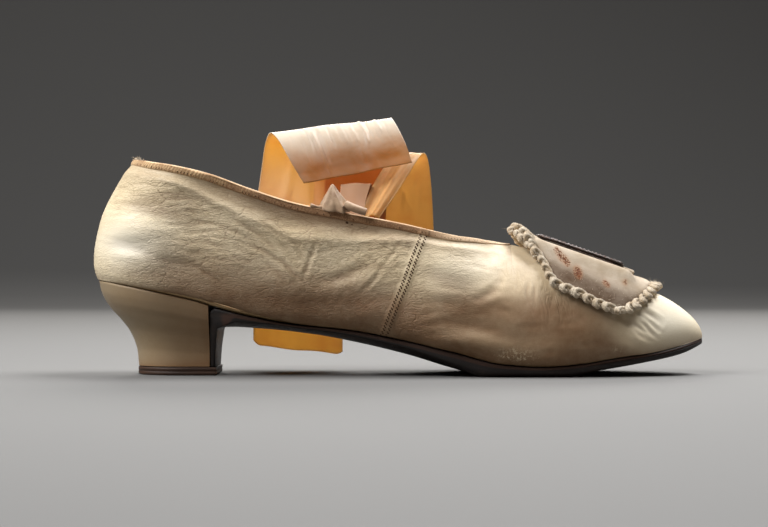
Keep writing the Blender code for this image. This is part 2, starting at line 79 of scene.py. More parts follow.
class Table:
    """Rows with named columns; the first column is what the others run along."""

    def __init__(self, names, rows):
        self.names = names.split()
        self.cols = {n: np.array([r[i] for r in rows], float) for i, n in enumerate(self.names)}
        self.key = self.cols[self.names[0]]

    def __call__(self, name, x):
        """Monotone cubic through one column."""
        xs, ys = self.key, self.cols[name]
        slope = np.diff(ys) / np.diff(xs)
        t = np.empty_like(ys)
        t[0], t[-1] = slope[0], slope[-1]
        a, b = slope[:-1], slope[1:]
        t[1:-1] = np.where(a * b <= 0, 0.0, 2 * a * b / np.where(a * b <= 0, 1.0, a + b))
        x = np.clip(np.asarray(x, float), xs[0], xs[-1])
        k = np.clip(np.searchsorted(xs, x, side="right") - 1, 0, len(xs) - 2)
        h = xs[k + 1] - xs[k]
        u = (x - xs[k]) / h
        return ((2 * u**3 - 3 * u**2 + 1) * ys[k] + (u**3 - 2 * u**2 + u) * h * t[k]
                + (3 * u**2 - 2 * u**3) * ys[k + 1] + (u**3 - u**2) * h * t[k + 1])


LAST = Table("x feather_z feather_w girth_w girth_h crown_h", [
    (-120, 37.4, 25.0, 27.0, 14, 112),
    (-100, 33.8, 25.0, 27.8, 15, 106),
    (-80, 29.6, 24.6, 28.2, 16, 100),
    (-60, 23.8, 23.4, 28.2, 17, 95),
    (-40, 20.1, 21.2, 28.2, 18, 86),
    (-20, 18.1, 21.0, 29.2, 17, 76),
    (0, 14.4, 23.4, 31.4, 14, 66),
    (20, 9.8, 27.6, 34.0, 11, 57.5),
    (40, 5.0, 30.6, 35.0, 9, 47.2),
    (54, 4.1, 31.2, 35.0, 8, 45.0),
    (70, 5.2, 30.0, 33.0, 7, 39.3),
    (85, 7.5, 27.6, 29.6, 6, 31.0),
    (100, 9.5, 24.6, 25.8, 5, 24.0),
    (112, 12.2, 22.2, 22.8, 4, 19.0),
    (120, 14.4, 21.0, 21.2, 3, 15.5),
])
COLLAR = Table("x z", [
    (-120, 84.2), (-110, 82.4), (-100, 81.0), (-80, 77.4), (-60, 71.8), (-40, 66.2),
    (-20, 62.4), (0, 58.8), (20, 54.4), (34, 52.2),
])
SOLE_BOTTOM = Table("x z edge_rise roundness", [
    (-67, 18.8, 2.4, 2.4), (-50, 17.6, 2.4, 2.4), (-33, 15.6, 2.4, 2.4), (-15, 12.2, 2.6, 2.4),
    (4, 7.6, 3.0, 2.6), (22, 2.4, 2.4, 4.0), (34, 0.0, 1.0, 30.0), (64, 0.0, 1.0, 30.0),
    (77, 2.0, 0.9, 7.0), (93, 4.6, 0.8, 6.0), (110, 8.0, 0.7, 5.0), (120, 12.0, 0.5, 4.0),
])
HEEL_ROWS = Table("drop z back_x half_w", [
    (0.0, 36.6, -118.0, 24.7), (4.2, 32.4, -117.1, 24.2), (7.5, 29.1, -115.6, 23.2),
    (11.5, 25.1, -112.8, 21.6), (15.4, 21.2, -109.2, 19.8), (19.4, 17.2, -106.1, 18.3),
    (23.4, 13.2, -104.1, 17.3), (27.3, 9.3, -102.9, 16.8), (33.1, 3.5, -102.3, 16.8),
])


def ease(t):
    t = np.clip(t, 0.0, 1.0)
    return t * t * (3.0 - 2.0 * t)


def nose(d, reach, power):
    d = np.clip(d, 0.0, reach)
    return (1.0 - (1.0 - d / reach) ** power) ** (1.0 / power)


def ends(x):
    return nose(x - BACK_X, HEEL_ROUND, HEEL_POWER) * nose(TIP_X - x, TOE_ROUND, TOE_POWER)


def feather_z(x):
    return LAST("feather_z", x)


def feather_w(x):
    return LAST("feather_w", x) * ends(x)


def section(x):
    drop = nose(TIP_X - x, TOE_DROP, 2.0)
    zf = feather_z(x)
    return (zf, feather_w(x), zf + LAST("girth_h", x) * drop, LAST("girth_w", x) * ends(x),
            zf + LAST("crown_h", x) * drop)


def lean(x, z):
    away = z - BACK_BULGE_Z
    return (np.where(away > 0, BACK_LEAN, BACK_TUCK) * away * away
            * (1.0 - ease((x - BACK_X) / LEAN_FADE)))


def skin(x, q):
    """Outer face of the upper, far half. q = -1 feather line, 0 girth, 1 crown."""
    x, q = np.broadcast_arrays(np.asarray(x, float), np.asarray(q, float))
    zf, wf, zg, wg, zc = section(x)
    b = (1.0 + np.minimum(q, 0.0)) * PI / 2
    a = np.maximum(q, 0.0) * PI / 2
    low = q < 0
    y = np.where(low, wf + (wg - wf) * np.sin(b), wg * np.cos(a))
    z = np.where(low, zg - (zg - zf) * np.cos(b), zg + (zc - zg) * np.sin(a))
    return np.stack([x + lean(x, z), y, z], -1)


def unit(v):
    return v / np.maximum(np.linalg.norm(v, axis=-1, keepdims=True), 1e-12)


def skin_normal(x, q):
    x, q = np.broadcast_arrays(np.asarray(x, float), np.asarray(q, float))
    x = np.clip(x, BACK_X + 0.4, TIP_X - 0.4)
    q = np.clip(q, -0.97, 0.999)
    n = unit(np.cross(skin(x, q + 0.002) - skin(x, q - 0.002), skin(x + 0.02, q) - skin(x - 0.02, q)))
    return np.where((n[..., 1:2] >= -0.05) | (n[..., 2:3] > 0.3), n, -n)


def collar_q(x):
    x = np.asarray(x, float)
    zf, wf, zg, wg, zc = section(x)
    throat = section(np.array(THROAT_X))[4]
    z = np.where(x <= 34.0, COLLAR("z", x),
                 52.2 + (throat - 52.2) * ease((x - 34.0) / (THROAT_X - 34.0)))
    q = np.arcsin(np.clip((z - zg) / (zc - zg), -1.0, 1.0)) * 2.0 / PI
    return np.where(x >= THROAT_X, 1.0, q)


# ------------------------------------------------------------------ mesh tools
def spread(a, b, n):
    return np.linspace(a, b, n)


def grid_faces(n, m, base=0, wrap=False):
    """Quads of an n by m grid of points, optionally closed along the second way."""
    i, j = np.meshgrid(np.arange(n - 1), np.arange(m if wrap else m - 1), indexing="ij")
    k = (j + 1) % m
    return (base + np.stack([i * m + j, (i + 1) * m + j, (i + 1) * m + k, i * m + k], -1)).reshape(-1, 4)


def build(name, points, faces, mats, smooth=True, index=None, join=1e-6, slot=None, sharp=None):
    """A closed mesh piece from millimetre points."""
    me = bpy.data.meshes.new(name)
    me.from_pydata((np.asarray(points, float) * MM).tolist(), [], [list(map(int, f)) for f in faces])
    for m in (mats if isinstance(mats, (list, tuple)) else [mats]):
        me.materials.append(m)
    if index is not None:
        me.polygons.foreach_set("material_index", np.asarray(index, np.int32))
    bm = bmesh.new()
    bm.from_mesh(me)
    if join:
        bmesh.ops.remove_doubles(bm, verts=bm.verts, dist=join)
        bmesh.ops.dissolve_degenerate(bm, dist=1e-8, edges=bm.edges)
    bmesh.ops.recalc_face_normals(bm, faces=bm.faces)
    bm.to_mesh(me)
    bm.free()
    if smooth:
        me.shade_smooth()
        if sharp:
            me.set_sharp_from_angle(angle=math.radians(sharp))
    ob = bpy.data.objects.new(name, me)
    SCENE.collection.objects.link(ob)
    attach(ob, "root")
    return ob


def ring_mesh(rings, closed=False, caps=True):
    """Points and faces through rings of the same count of points."""
    rings = np.asarray(rings, float)
    n, m = rings.shape[:2]
    pts = rings.reshape(-1, 3)
    faces = [tuple(f) for f in grid_faces(n, m, wrap=True)]
    if closed:
        last = (n - 1) * m
        faces += [(last + j, j, (j + 1) % m, last + (j + 1) % m) for j in range(m)]
    elif caps:
        faces.append(tuple(range(m)))
        faces.append(tuple((n - 1) * m + j for j in reversed(range(m))))
    return pts, faces


def sheet_mesh(top, under):
    """Points and faces of a closed body between two equal grids."""
    top, under = np.asarray(top, float), np.asarray(under, float)
    n, m = top.shape[:2]
    pts = np.concatenate([top.reshape(-1, 3), under.reshape(-1, 3)])
    b = n * m
    faces = [tuple(f) for f in grid_faces(n, m)] + [tuple(f[::-1]) for f in grid_faces(n, m, base=b)]
    for i in range(n - 1):
        for j in (0, m - 1):
            faces.append((i * m + j, (i + 1) * m + j, b + (i + 1) * m + j, b + i * m + j))
    for j in range(m - 1):
        for i in (0, n - 1):
            faces.append((i * m + j, i * m + j + 1, b + i * m + j + 1, b + i * m + j))
    return pts, faces


def join_parts(parts):
    """Several (points, faces) as one."""
    pts, faces, base = [], [], 0
    for p, f in parts:
        p = np.asarray(p, float)
        pts.append(p)
        faces += [tuple(int(i) + base for i in q) for q in f]
        base += len(p)
    return np.concatenate(pts), faces


def tube(path, radius, sides=8, closed=False, up=(0, 0, 1)):
    """Round cord along a path of points; radius is one number or one per point."""
    path = np.asarray(path, float)
    n = len(path)
    r = np.broadcast_to(np.asarray(radius, float), (n,))
    if closed:
        ahead = unit(np.roll(path, -1, 0) - np.roll(path, 1, 0))
    else:
        ahead = unit(np.gradient(path, axis=0))
    side = np.empty_like(path)
    ref = np.asarray(up, float)
    if abs(ahead[0] @ ref) > 0.9:
        ref = np.array([1.0, 0.0, 0.0])
    v = np.cross(ahead[0], ref)
    for i in range(n):
        v = v - ahead[i] * (v @ ahead[i])
        v = v / np.linalg.norm(v)
        side[i] = v
    lift = np.cross(ahead, side)
    ang = np.arange(sides) * 2 * PI / sides
    rings = (path[:, None] + r[:, None, None] * (np.cos(ang)[None, :, None] * side[:, None]
                                                 + np.sin(ang)[None, :, None] * lift[:, None]))
    return ring_mesh(rings, closed=closed)


def set_attr(ob, name, values):
    a = ob.data.attributes.new(name, "FLOAT", "POINT")
    a.data.foreach_set("value", np.asarray(values, np.float32))


def mesh_points(ob):
    v = np.empty(len(ob.data.vertices) * 3)
    ob.data.vertices.foreach_get("co", v)
    return v.reshape(-1, 3) / MM


# ------------------------------------------------------------------ shaders
class Shader:
    """Small helper for one procedural material in object millimetres."""

    def __init__(self, name):
        self.mat = bpy.data.materials.new(name)
        self.mat.use_nodes = True
        self.tree = self.mat.node_tree
        self.bsdf = self.tree.nodes["Principled BSDF"]
        self.out = self.tree.nodes["Material Output"]
        coord = self.tree.nodes.new("ShaderNodeTexCoord")
        scale = self.tree.nodes.new("ShaderNodeVectorMath")
        scale.operation = "SCALE"
        scale.inputs["Scale"].default_value = 1.0 / MM
        self.link(coord.outputs["Object"], scale.inputs[0])
        self.pos = scale.outputs["Vector"]

    def link(self, a, b):
        self.tree.links.new(a, b)

    def put(self, socket, value):
        if hasattr(value, "is_output"):
            self.link(value, socket)
        else:
            socket.default_value = value

    def set(self, **inputs):
        for k, v in inputs.items():
            name = k.replace("_", " ")
            if isinstance(v, (tuple, list)) and len(v) == 3 and "Color" in name or "Tint" in name:
                v = (*v, 1.0)
            self.put(self.bsdf.inputs[name], v)

    def place(self, scale=(1, 1, 1), rot=(0, 0, 0), vec=None):
        m = self.tree.nodes.new("ShaderNodeMapping")
        m.inputs["Scale"].default_value = scale
        m.inputs["Rotation"].default_value = tuple(math.radians(r) for r in rot)
        self.link(vec or self.pos, m.inputs["Vector"])
        return m.outputs["Vector"]

    def noise(self, scale=1.0, detail=3.0, rough=0.5, warp=0.0, vec=None):
        n = self.tree.nodes.new("ShaderNodeTexNoise")
        self.link(vec or self.pos, n.inputs["Vector"])
        n.inputs["Scale"].default_value = scale
        n.inputs["Detail"].default_value = detail
        n.inputs["Roughness"].default_value = rough
        n.inputs["Distortion"].default_value = warp
        return n.outputs["Fac"]

    def voronoi(self, scale=1.0, feature="F1", vec=None, out="Distance", jitter=1.0):
        n = self.tree.nodes.new("ShaderNodeTexVoronoi")
        n.feature = feature
        self.link(vec or self.pos, n.inputs["Vector"])
        n.inputs["Scale"].default_value = scale
        n.inputs["Randomness"].default_value = jitter
        return n.outputs[out]

    def wave(self, scale, axis="X", warp=0.0, detail=2.0, vec=None, profile="SIN", kind="BANDS"):
        n = self.tree.nodes.new("ShaderNodeTexWave")
        n.wave_type = kind
        if kind == "BANDS":
            n.bands_direction = axis
        n.wave_profile = profile
        self.link(vec or self.pos, n.inputs["Vector"])
        n.inputs["Scale"].default_value = scale
        n.inputs["Distortion"].default_value = warp
        n.inputs["Detail"].default_value = detail
        return n.outputs["Fac"]

    def wobble(self, vec, scale, amount):
        """Places shifted by a soft noise, so that cells don't line up."""
        n = self.tree.nodes.new("ShaderNodeTexNoise")
        n.inputs["Scale"].default_value = scale
        n.inputs["Detail"].default_value = 2.0
        self.link(vec, n.inputs["Vector"])
        m = self.tree.nodes.new("ShaderNodeVectorMath")
        m.operation = "MULTIPLY_ADD"
        self.link(n.outputs["Color"], m.inputs[0])
        m.inputs[1].default_value = (amount, amount, amount)
        self.link(vec, m.inputs[2])
        return m.outputs["Vector"]

    def attr(self, name):
        n = self.tree.nodes.new("ShaderNodeAttribute")
        n.attribute_name = name
        return n.outputs["Fac"]

    def math(self, op, a, b=0.0, c=0.0, clamp=False):
        n = self.tree.nodes.new("ShaderNodeMath")
        n.operation = op
        n.use_clamp = clamp
        for s, v in zip(n.inputs, (a, b, c)):
            self.put(s, v)
        return n.outputs[0]

    def span(self, v, lo, hi, to_lo=0.0, to_hi=1.0):
        n = self.tree.nodes.new("ShaderNodeMapRange")
        n.interpolation_type = "SMOOTHSTEP"
        for k, x in (("Value", v), ("From Min", lo), ("From Max", hi), ("To Min", to_lo), ("To Max", to_hi)):
            self.put(n.inputs[k], x)
        return n.outputs["Result"]

    def lines(self, v, width=0.1):
        """Thin branching lines where a noise crosses its middle."""
        return self.span(self.math("ABSOLUTE", self.math("SUBTRACT", v, 0.5)), 0.0, width, 1.0, 0.0)

    def mix(self, fac, a, b, blend="MIX"):
        n = self.tree.nodes.new("ShaderNodeMix")
        n.data_type = "RGBA"
        n.blend_type = blend
        self.put(n.inputs[0], fac)
        for s, v in ((n.inputs[6], a), (n.inputs[7], b)):
            self.put(s, (*v, 1.0) if isinstance(v, (tuple, list)) else v)
        return n.outputs[2]

    def bump(self, height, distance, strength=1.0, normal=None):
        n = self.tree.nodes.new("ShaderNodeBump")
        n.inputs["Strength"].default_value = strength
        n.inputs["Distance"].default_value = distance * MM
        self.link(height, n.inputs["Height"])
        if normal is not None:
            self.link(normal, n.inputs["Normal"])
        return n.outputs["Normal"]

    def finish(self, normal=None):
        if normal is not None:
            self.link(normal, self.bsdf.inputs["Normal"])
        return self.mat


def tint(r, g, b):
    """A display colour, 0 to 255, as scene-linear numbers."""
    return tuple(((c / 255 + 0.055) / 1.055) ** 2.4 if c > 10 else c / 255 / 12.92 for c in (r, g, b))


def kid_leather(name, base, tan, heavy=1.0):
    """Creased cream kid: fine wrinkles with painted shade in their lines, tan colour that is partly dirt and partly
    painted shade, a whitened painted highlight, soft sheen.
    """
    s = Shader(name)
    fold, dirt_and_shade, scuff = s.attr("fold"), s.attr("dirt_and_shade"), s.attr("scuff")
    calm = s.span(s.attr("calm"), 0.0, 1.0, 1.0, 0.0)
    flat = s.noise(1.0, 2.2, 0.5, 0.9, s.place((0.105, 0.105, 0.46), (0, 7, 0)))
    slant = s.noise(1.0, 2.0, 0.5, 0.8, s.place((0.15, 0.15, 0.50), (0, 30, 0)))
    rise = s.noise(1.0, 2.0, 0.5, 0.8, s.place((0.18, 0.18, 0.48), (0, -28, 0)))
    upright = s.noise(1.0, 2.0, 0.5, 0.5, s.place((0.46, 0.20, 0.07), (0, 8, 0)))
    swell = s.noise(0.22, 2.0, 0.5, 0.4)
    cell = s.voronoi(1.0, "DISTANCE_TO_EDGE", s.wobble(s.place((0.40, 0.40, 1.10), (0, 16, 0)), 0.9, 1.2))
    cell_b = s.voronoi(1.0, "DISTANCE_TO_EDGE", s.wobble(s.place((0.62, 0.62, 1.15), (0, -26, 0)), 0.9, 1.0))
    pores = s.voronoi(1.9, "DISTANCE_TO_EDGE")
    cut = s.math("ADD", s.math("MULTIPLY", s.lines(flat, 0.10), 0.55),
                 s.math("ADD", s.math("MULTIPLY", s.lines(slant, 0.075), 0.45),
                        s.math("MULTIPLY", s.lines(rise, 0.075), 0.30)))
    broken = s.span(s.noise(0.09, 3.0, 0.6), 0.40, 0.58)
    net = s.voronoi(1.0, "DISTANCE_TO_EDGE", s.wobble(s.place((0.075, 0.075, 0.25), (0, 20, 0)), 0.8, 0.5))
    net_b = s.voronoi(1.0, "DISTANCE_TO_EDGE", s.wobble(s.place((0.12, 0.12, 0.22), (0, -32, 0)), 0.8, 0.5))
    long = s.math("ADD", s.span(net, 0.0, 0.045, 1.0, 0.0), s.math("MULTIPLY", s.span(net_b, 0.0, 0.040, 1.0, 0.0), 0.8))
    cut = s.math("ADD", cut, s.math("MULTIPLY", long, broken))
    mesh = s.math("ADD", s.span(cell, 0.0, 0.16), s.math("MULTIPLY", s.span(cell_b, 0.0, 0.14), 0.5))
    cut = s.math("ADD", s.math("MULTIPLY", cut, calm), s.math("MULTIPLY", s.lines(upright, 0.10), s.attr("upright")))
    cloud = s.noise(0.045, 3.0, 0.55)
    mott = s.noise(0.30, 4.0, 0.6)
    col = s.mix(s.span(cloud, 0.35, 0.7), base, tuple(c * f for c, f in zip(base, (0.95, 0.92, 0.86))))
    col = s.mix(s.span(mott, 0.45, 0.80, 0.0, 0.30), col, tuple(c * f for c, f in zip(base, (0.92, 0.87, 0.78))))
    # Painted shade: wrinkle lines, grain cracks and the main creases are mixed toward the tan colour.
    col = s.mix(s.math("MULTIPLY", cut, 0.20, clamp=True), col, tan)
    gap = s.math("MULTIPLY", s.span(s.math("MINIMUM", cell, cell_b), 0.0, 0.09, 1.0, 0.0), s.span(calm, 0.0, 1.0, 0.35, 1.0))
    col = s.mix(s.math("MULTIPLY", gap, 0.20), col, tan)
    col = s.mix(s.math("MULTIPLY", fold, 0.40, clamp=True), col, tan)
    # Dirt and painted shade: the tan blotches follow an attribute that is partly dirt and partly painted shade.
    blotch = s.math("MULTIPLY", dirt_and_shade, s.span(s.math("ADD", mott, cloud), 0.55, 1.35, 0.90, 1.05), clamp=True)
    col = s.mix(blotch, col, tan)
    flake = s.math("MULTIPLY", scuff, s.span(s.noise(0.9, 5.0, 0.75), 0.50, 0.64, 0.0, 0.75))
    col = s.mix(flake, col, tuple(min(1.0, c * 1.1) for c in base))
    # Painted highlight: whitened patches where the light falls brightest.
    col = s.mix(s.attr("painted_highlight"), col, tint(240, 237, 224))
    s.put(s.bsdf.inputs["Base Color"], col)
    s.put(s.bsdf.inputs["Roughness"], s.math("ADD", s.span(mott, 0.3, 0.7, 0.48, 0.62), s.math("MULTIPLY", dirt_and_shade, 0.08)))
    s.set(Specular_IOR_Level=0.40, Coat_Weight=0.09, Coat_Roughness=0.38)
    n = s.bump(s.math("MULTIPLY", swell, calm), 0.07 * heavy, 0.8)
    n = s.bump(s.math("MULTIPLY", cut, -1.0), 0.10 * heavy, 1.0, n)
    n = s.bump(s.math("MULTIPLY", mesh, s.span(calm, 0.0, 1.0, 0.12, 1.0)), 0.075 * heavy, 1.0, n)
    n = s.bump(pores, 0.02, 0.5, n)
    return s.finish(n)


# ------------------------------------------------------------------ creases
# Main creases of the near side, each a soft bent line in side view (x, z),
# with the half width of the trough and its depth; negative depth is a ridge.
Crease = namedtuple("Crease", "x0 z0 xm zm x1 z1 width depth")
CREASES = [
    Crease(-110.6, 62.1, -95.3, 54.4, -76.1, 46.8, 5.0, -0.80),
    Crease(-102.9, 67.8, -89.5, 64.0, -70.4, 59.4, 4.0, 0.36),
    Crease(-97.2, 71.7, -87.6, 69.7, -76.1, 66.7, 3.2, 0.36),
    Crease(-112.5, 47.9, -102.9, 46.0, -93.4, 43.0, 2.8, -0.55),
    Crease(-112.5, 51.4, -101.0, 49.0, -87.6, 44.1, 2.0, 0.35),
    Crease(9.0, 41.8, 17.8, 37.2, 29.3, 35.6, 3.0, 0.50),
    Crease(-60.8, 51.4, -49.3, 46.8, -36.6, 37.6, 0.85, 0.42),
    Crease(-31.3, 52.5, -34.3, 44.1, -36.8, 37.0, 0.8, 0.36),
    Crease(-40.8, 52.5, -37.8, 47.9, -34.7, 43.7, 0.75, 0.32),
    Crease(-44.3, 44.1, -40.8, 40.2, -37.4, 36.8, 0.75, 0.34),
    Crease(-14.8, 48.7, -10.6, 44.8, -6.0, 41.8, 0.8, 0.28),
    Crease(0.1, 49.4, -3.3, 46.0, -6.4, 41.8, 0.75, 0.24),
    Crease(-6.4, 41.8, -10.2, 36.4, -15.6, 31.8, 0.8, 0.34),
    Crease(-30.9, 36.4, -20.5, 38.7, -10.2, 44.1, 1.8, 0.45),
    Crease(-63.8, 60.9, -52.3, 53.3, -43.5, 44.1, 0.8, 0.34),
    Crease(-56.9, 63.2, -47.4, 55.6, -37.8, 50.2, 0.75, 0.30),
    Crease(-76.1, 59.4, -62.7, 55.6, -52.3, 48.7, 0.8, 0.28),
    Crease(-95.3, 45.6, -79.9, 42.5, -70.4, 37.9, 0.8, 0.28),
    Crease(-80.7, 44.1, -74.2, 40.2, -67.7, 35.6, 0.75, 0.32),
    Crease(-52.3, 44.1, -45.4, 38.7, -40.9, 32.6, 0.8, 0.28),
    Crease(7.4, 29.5, 15.9, 28.4, 24.3, 28.7, 1.8, 0.26),
    Crease(8.2, 23.4, 14.3, 24.9, 19.7, 22.6, 1.3, 0.26),
    Crease(9.7, 19.6, 15.9, 21.1, 20.5, 20.3, 1.3, 0.24),
    Crease(12.8, 13.4, 25.4, 15.0, 40.8, 10.4, 3.6, -0.95),
    Crease(15.9, 18.4, 29.3, 18.2, 46.5, 14.2, 2.4, 0.55),
    Crease(50.0, 36.4, 49.2, 31.0, 51.5, 24.9, 0.75, 0.32),
    Crease(52.6, 35.6, 51.9, 32.6, 51.6, 29.6, 0.75, 0.28),
    Crease(59.2, 31.0, 59.0, 29.0, 58.8, 26.6, 0.75, 0.16),
    Crease(83.0, 23.6, 88.6, 20.4, 93.0, 15.6, 0.9, 0.34),
    Crease(84.6, 24.4, 90.6, 21.0, 95.4, 15.9, 0.8, 0.50),
    Crease(86.4, 25.0, 92.7, 21.6, 98.2, 16.4, 0.8, 0.58),
    Crease(88.4, 25.4, 94.6, 22.4, 100.2, 17.8, 0.8, 0.58),
    Crease(90.4, 25.8, 96.2, 23.2, 101.4, 19.4, 0.8, 0.46),
    Crease(92.6, 26.0, 97.8, 23.8, 102.2, 20.8, 0.8, 0.34),
    Crease(27.4, 29.5, 35.1, 33.4, 37.7, 40.3, 1.5, 0.30),
    Crease(31.0, 30.0, 38.4, 34.5, 39.6, 42.0, 1.4, 0.26),
    Crease(3.6, 49.8, 5.8, 47.6, 8.2, 45.0, 1.0, 0.30),
    Crease(-92.0, 70.5, -80.0, 69.4, -68.0, 66.2, 3.0, 0.28),
    Crease(-114.0, 66.0, -101.0, 65.2, -88.0, 66.6, 2.6, 0.22),
    Crease(-113.0, 55.5, -98.0, 56.4, -84.0, 54.2, 3.0, -0.32),
    Crease(-100.0, 46.8, -86.0, 48.4, -72.0, 46.0, 2.8, -0.24),
    Crease(-24.0, 27.0, -10.0, 30.0, 2.0, 27.6, 3.0, 0.45),
    Crease(-48.0, 29.6, -36.0, 28.0, -24.0, 29.0, 2.6, 0.35),
]

# Small wrinkles scattered by zone, all from one fixed seed.
Zone = namedtuple("Zone", "x_lo x_hi z_lo z_hi count angle spread length width depth")
ZONES = [
    Zone(-117, -70, 43, 78, 110, -4, 8, 19, 0.75, 0.045),
    Zone(-84, -38, 34, 66, 130, -20, 12, 15, 0.75, 0.055),
    Zone(-46, 4, 26, 54, 70, -34, 12, 10, 0.75, 0.06),
    Zone(-46, 4, 26, 54, 60, 32, 14, 9, 0.75, 0.06),
    Zone(4, 42, 12, 46, 40, -2, 16, 11, 0.9, 0.06),
    Zone(30, 78, 8, 22, 30, 3, 10, 13, 0.9, 0.05),
    Zone(84, 102, 13, 27, 12, -40, 8, 11, 0.9, 0.16),
    Zone(46, 64, 22, 38, 12, 82, 12, 9, 0.8, 0.05),
    Zone(-118, -70, 38, 46, 30, -24, 14, 9, 0.8, 0.05),
]


def bent_line(c, n=14):
    t = spread(0, 1, n)[:, None]
    a, m, b = np.array((c.x0, c.z0)), np.array((c.xm, c.zm)), np.array((c.x1, c.z1))
    m = 2 * m - (a + b) / 2
    return (1 - t) ** 2 * a + 2 * t * (1 - t) * m + t * t * b


def add_crease(field, X, Z, line, width, depth):
    lo, hi = line.min(0) - 4 * width, line.max(0) + 4 * width
    idx = np.nonzero((X > lo[0]) & (X < hi[0]) & (Z > lo[1]) & (Z < hi[1]))[0]
    if not len(idx):
        return
    p = np.stack([X[idx], Z[idx]], -1)
    best, at = np.full(len(idx), 1e9), np.zeros(len(idx))
    n = len(line) - 1
    for k in range(n):
        a, b = line[k], line[k + 1]
        d = b - a
        t = np.clip(((p - a) @ d) / (d @ d), 0, 1)
        e = np.linalg.norm(p - (a + t[:, None] * d), axis=1)
        near = e < best
        best[near] = e[near]
        at[near] = (k + t[near]) / n
    taper = np.sin(PI * np.clip(at, 0.02, 0.98)) ** 0.6
    shape = np.exp(-(best / width) ** 2) - 0.45 * np.exp(-((best - 2.0 * width) / (0.9 * width)) ** 2)
    field[idx] -= depth * taper * shape


def crease_field(X, Z, side):
    """Height over the plain last, from creases and wrinkles of one side."""
    f = np.zeros_like(X)
    rng = np.random.default_rng(71 if side < 0 else 113)
    for c in CREASES:
        if side > 0:
            c = c._replace(x0=c.x0 + 5, x1=c.x1 + 3, xm=c.xm + 4.5, z0=c.z0 - 1.5, z1=c.z1 - 2, zm=c.zm - 0.5)
        add_crease(f, X, Z, bent_line(c), c.width, c.depth)
    for z in ZONES:
        for _ in range(z.count):
            x, h = rng.uniform(z.x_lo, z.x_hi), rng.uniform(z.z_lo, z.z_hi)
            a = math.radians(rng.normal(z.angle, z.spread))
            l = z.length * rng.uniform(0.5, 1.3) / 2
            bow = rng.normal(0, 0.8)
            w, d = z.width * rng.uniform(0.75, 1.35), z.depth * rng.uniform(0.4, 1.5)
            c = Crease(x - l * math.cos(a), h - l * math.sin(a), x - bow * math.sin(a), h + bow * math.cos(a),
                       x + l * math.cos(a), h + l * math.sin(a), w, d)
            add_crease(f, X, Z, bent_line(c, 6), w, d)
    return f


# Trough under the collar and the ridge below it: depth of the ridge line
# under the top line, along the foot.
COLLAR_FOLD = Table("x ridge_drop amount", [
    (-120, 5.0, 0.15), (-95, 5.6, 0.6), (-76, 8.2, 1.0), (-57, 10.7, 1.1), (-40, 12.6, 1.1),
    (-26, 11.0, 1.0), (-10, 8.4, 0.85), (8, 5.4, 0.4), (30, 4.4, 0.2), (44, 4.0, 0.0),
])

# Side seam between quarter and vamp, in side view.
SEAM = Table("z x", [(14.0, -6.4), (18.0, -4.6), (21.9, -3.3), (27.6, -1.0), (35.3, 2.4),
                     (42.9, 5.1), (48.7, 7.4), (53.7, 9.4), (60.0, 11.0)])
SEAM_HALF = 1.9


def swell(X, Z):
    """Slack of the empty leather, long and low."""
    return (0.28 * np.sin(X * 0.16 + Z * 0.11 + 0.7) * np.sin(Z * 0.21 - X * 0.05 + 1.1)
            + 0.12 * np.sin(X * 0.29 - Z * 0.17 + 2.0) * np.sin(Z * 0.33 + X * 0.11))


def relief(x, q, P, side):
    """How far the leather stands off the last at each point."""
    X, Z, Y = P[..., 0].ravel(), P[..., 2].ravel(), np.abs(P[..., 1]).ravel()
    xr, qr = np.broadcast_arrays(x, q)
    xr, qr = xr.ravel(), qr.ravel()
    own = crease_field(X, Z, side) + swell(X + (7 if side > 0 else 0), Z)
    seam = np.abs(X - SEAM("x", Z))
    own += np.where((Z > 10) & (Z < 62), 0.32 * (1 - ease((seam - SEAM_HALF + 0.35) / 0.7)), 0.0)
    top = skin(xr, collar_q(xr))[..., 2]
    below = np.maximum(0.0, top - Z)
    drop, amount = COLLAR_FOLD("ridge_drop", xr), COLLAR_FOLD("amount", xr)
    shared = np.where(xr < THROAT_X, amount * (-1.5 * np.exp(-((below - 0.48 * drop) / (0.30 * drop)) ** 2)
                                               + 0.8 * np.exp(-((below - drop) / (0.22 * drop)) ** 2)), 0.0)
    fade = ease(Y / 15.0) * ease((1.02 + qr) / 0.25) * ease((TIP_X + 0.5 - X) / 10.0)
    return (own * fade + shared * ease(Y / 5.0)).reshape(P.shape[:-1])


# ------------------------------------------------------------------ upper
def upper_columns(step):
    heel = BACK_X + HEEL_ROUND * (1 - np.cos(spread(0, PI / 2, int(44 / step) + 1)))[:-1]
    mid = spread(-90.0, 30.0, int(120 / (0.66 * step)) + 1)[:-1]
    throat = 30.0 + 14.0 * np.sin(spread(0, PI / 2, int(30 / step) + 1))
    vamp = spread(THROAT_X, 86.0, int(58 / step) + 1)[1:-1]
    toe = TIP_X - 34.0 * (1 - np.cos(spread(PI / 2, 0, int(80 / step) + 1)))
    return np.concatenate([heel, mid, throat, vamp, toe])


def upper_grid(xs, low, high, inset=0.0):
    """Both halves of the upper's face: near, then far."""
    q = np.concatenate([np.broadcast_to(spread(-1, 0, low + 1)[:-1], (len(xs), low)),
                        collar_q(xs)[:, None] * spread(0, 1, high)], 1)
    x = np.broadcast_to(xs[:, None], q.shape)
    base, n = skin(x, q), skin_normal(x, q)
    n[:, 0, 2] = 0.0
    edge = (x <= BACK_X) | (x >= TIP_X) | (q >= 1.0)
    n[..., 1] = np.where(edge, 0.0, n[..., 1])
    n[-1] = (1.0, 0.0, 0.0)
    n = unit(n)
    halves = []
    for side in (-1.0, 1.0):
        flip = np.array((1.0, side, 1.0))
        d = relief(x, q, base * flip, side)
        halves.append((base + n * (d - inset)[..., None]) * flip)
    return halves


UP_LOW, UP_HIGH = 22, 72
COLS = upper_columns(1.0)
IN_COLS = COLS[::2] if len(COLS) % 2 else np.append(COLS[::2], COLS[-1])
OUTER = upper_grid(COLS, UP_LOW, UP_HIGH)
INNER = upper_grid(IN_COLS, 8, 30, WALL)


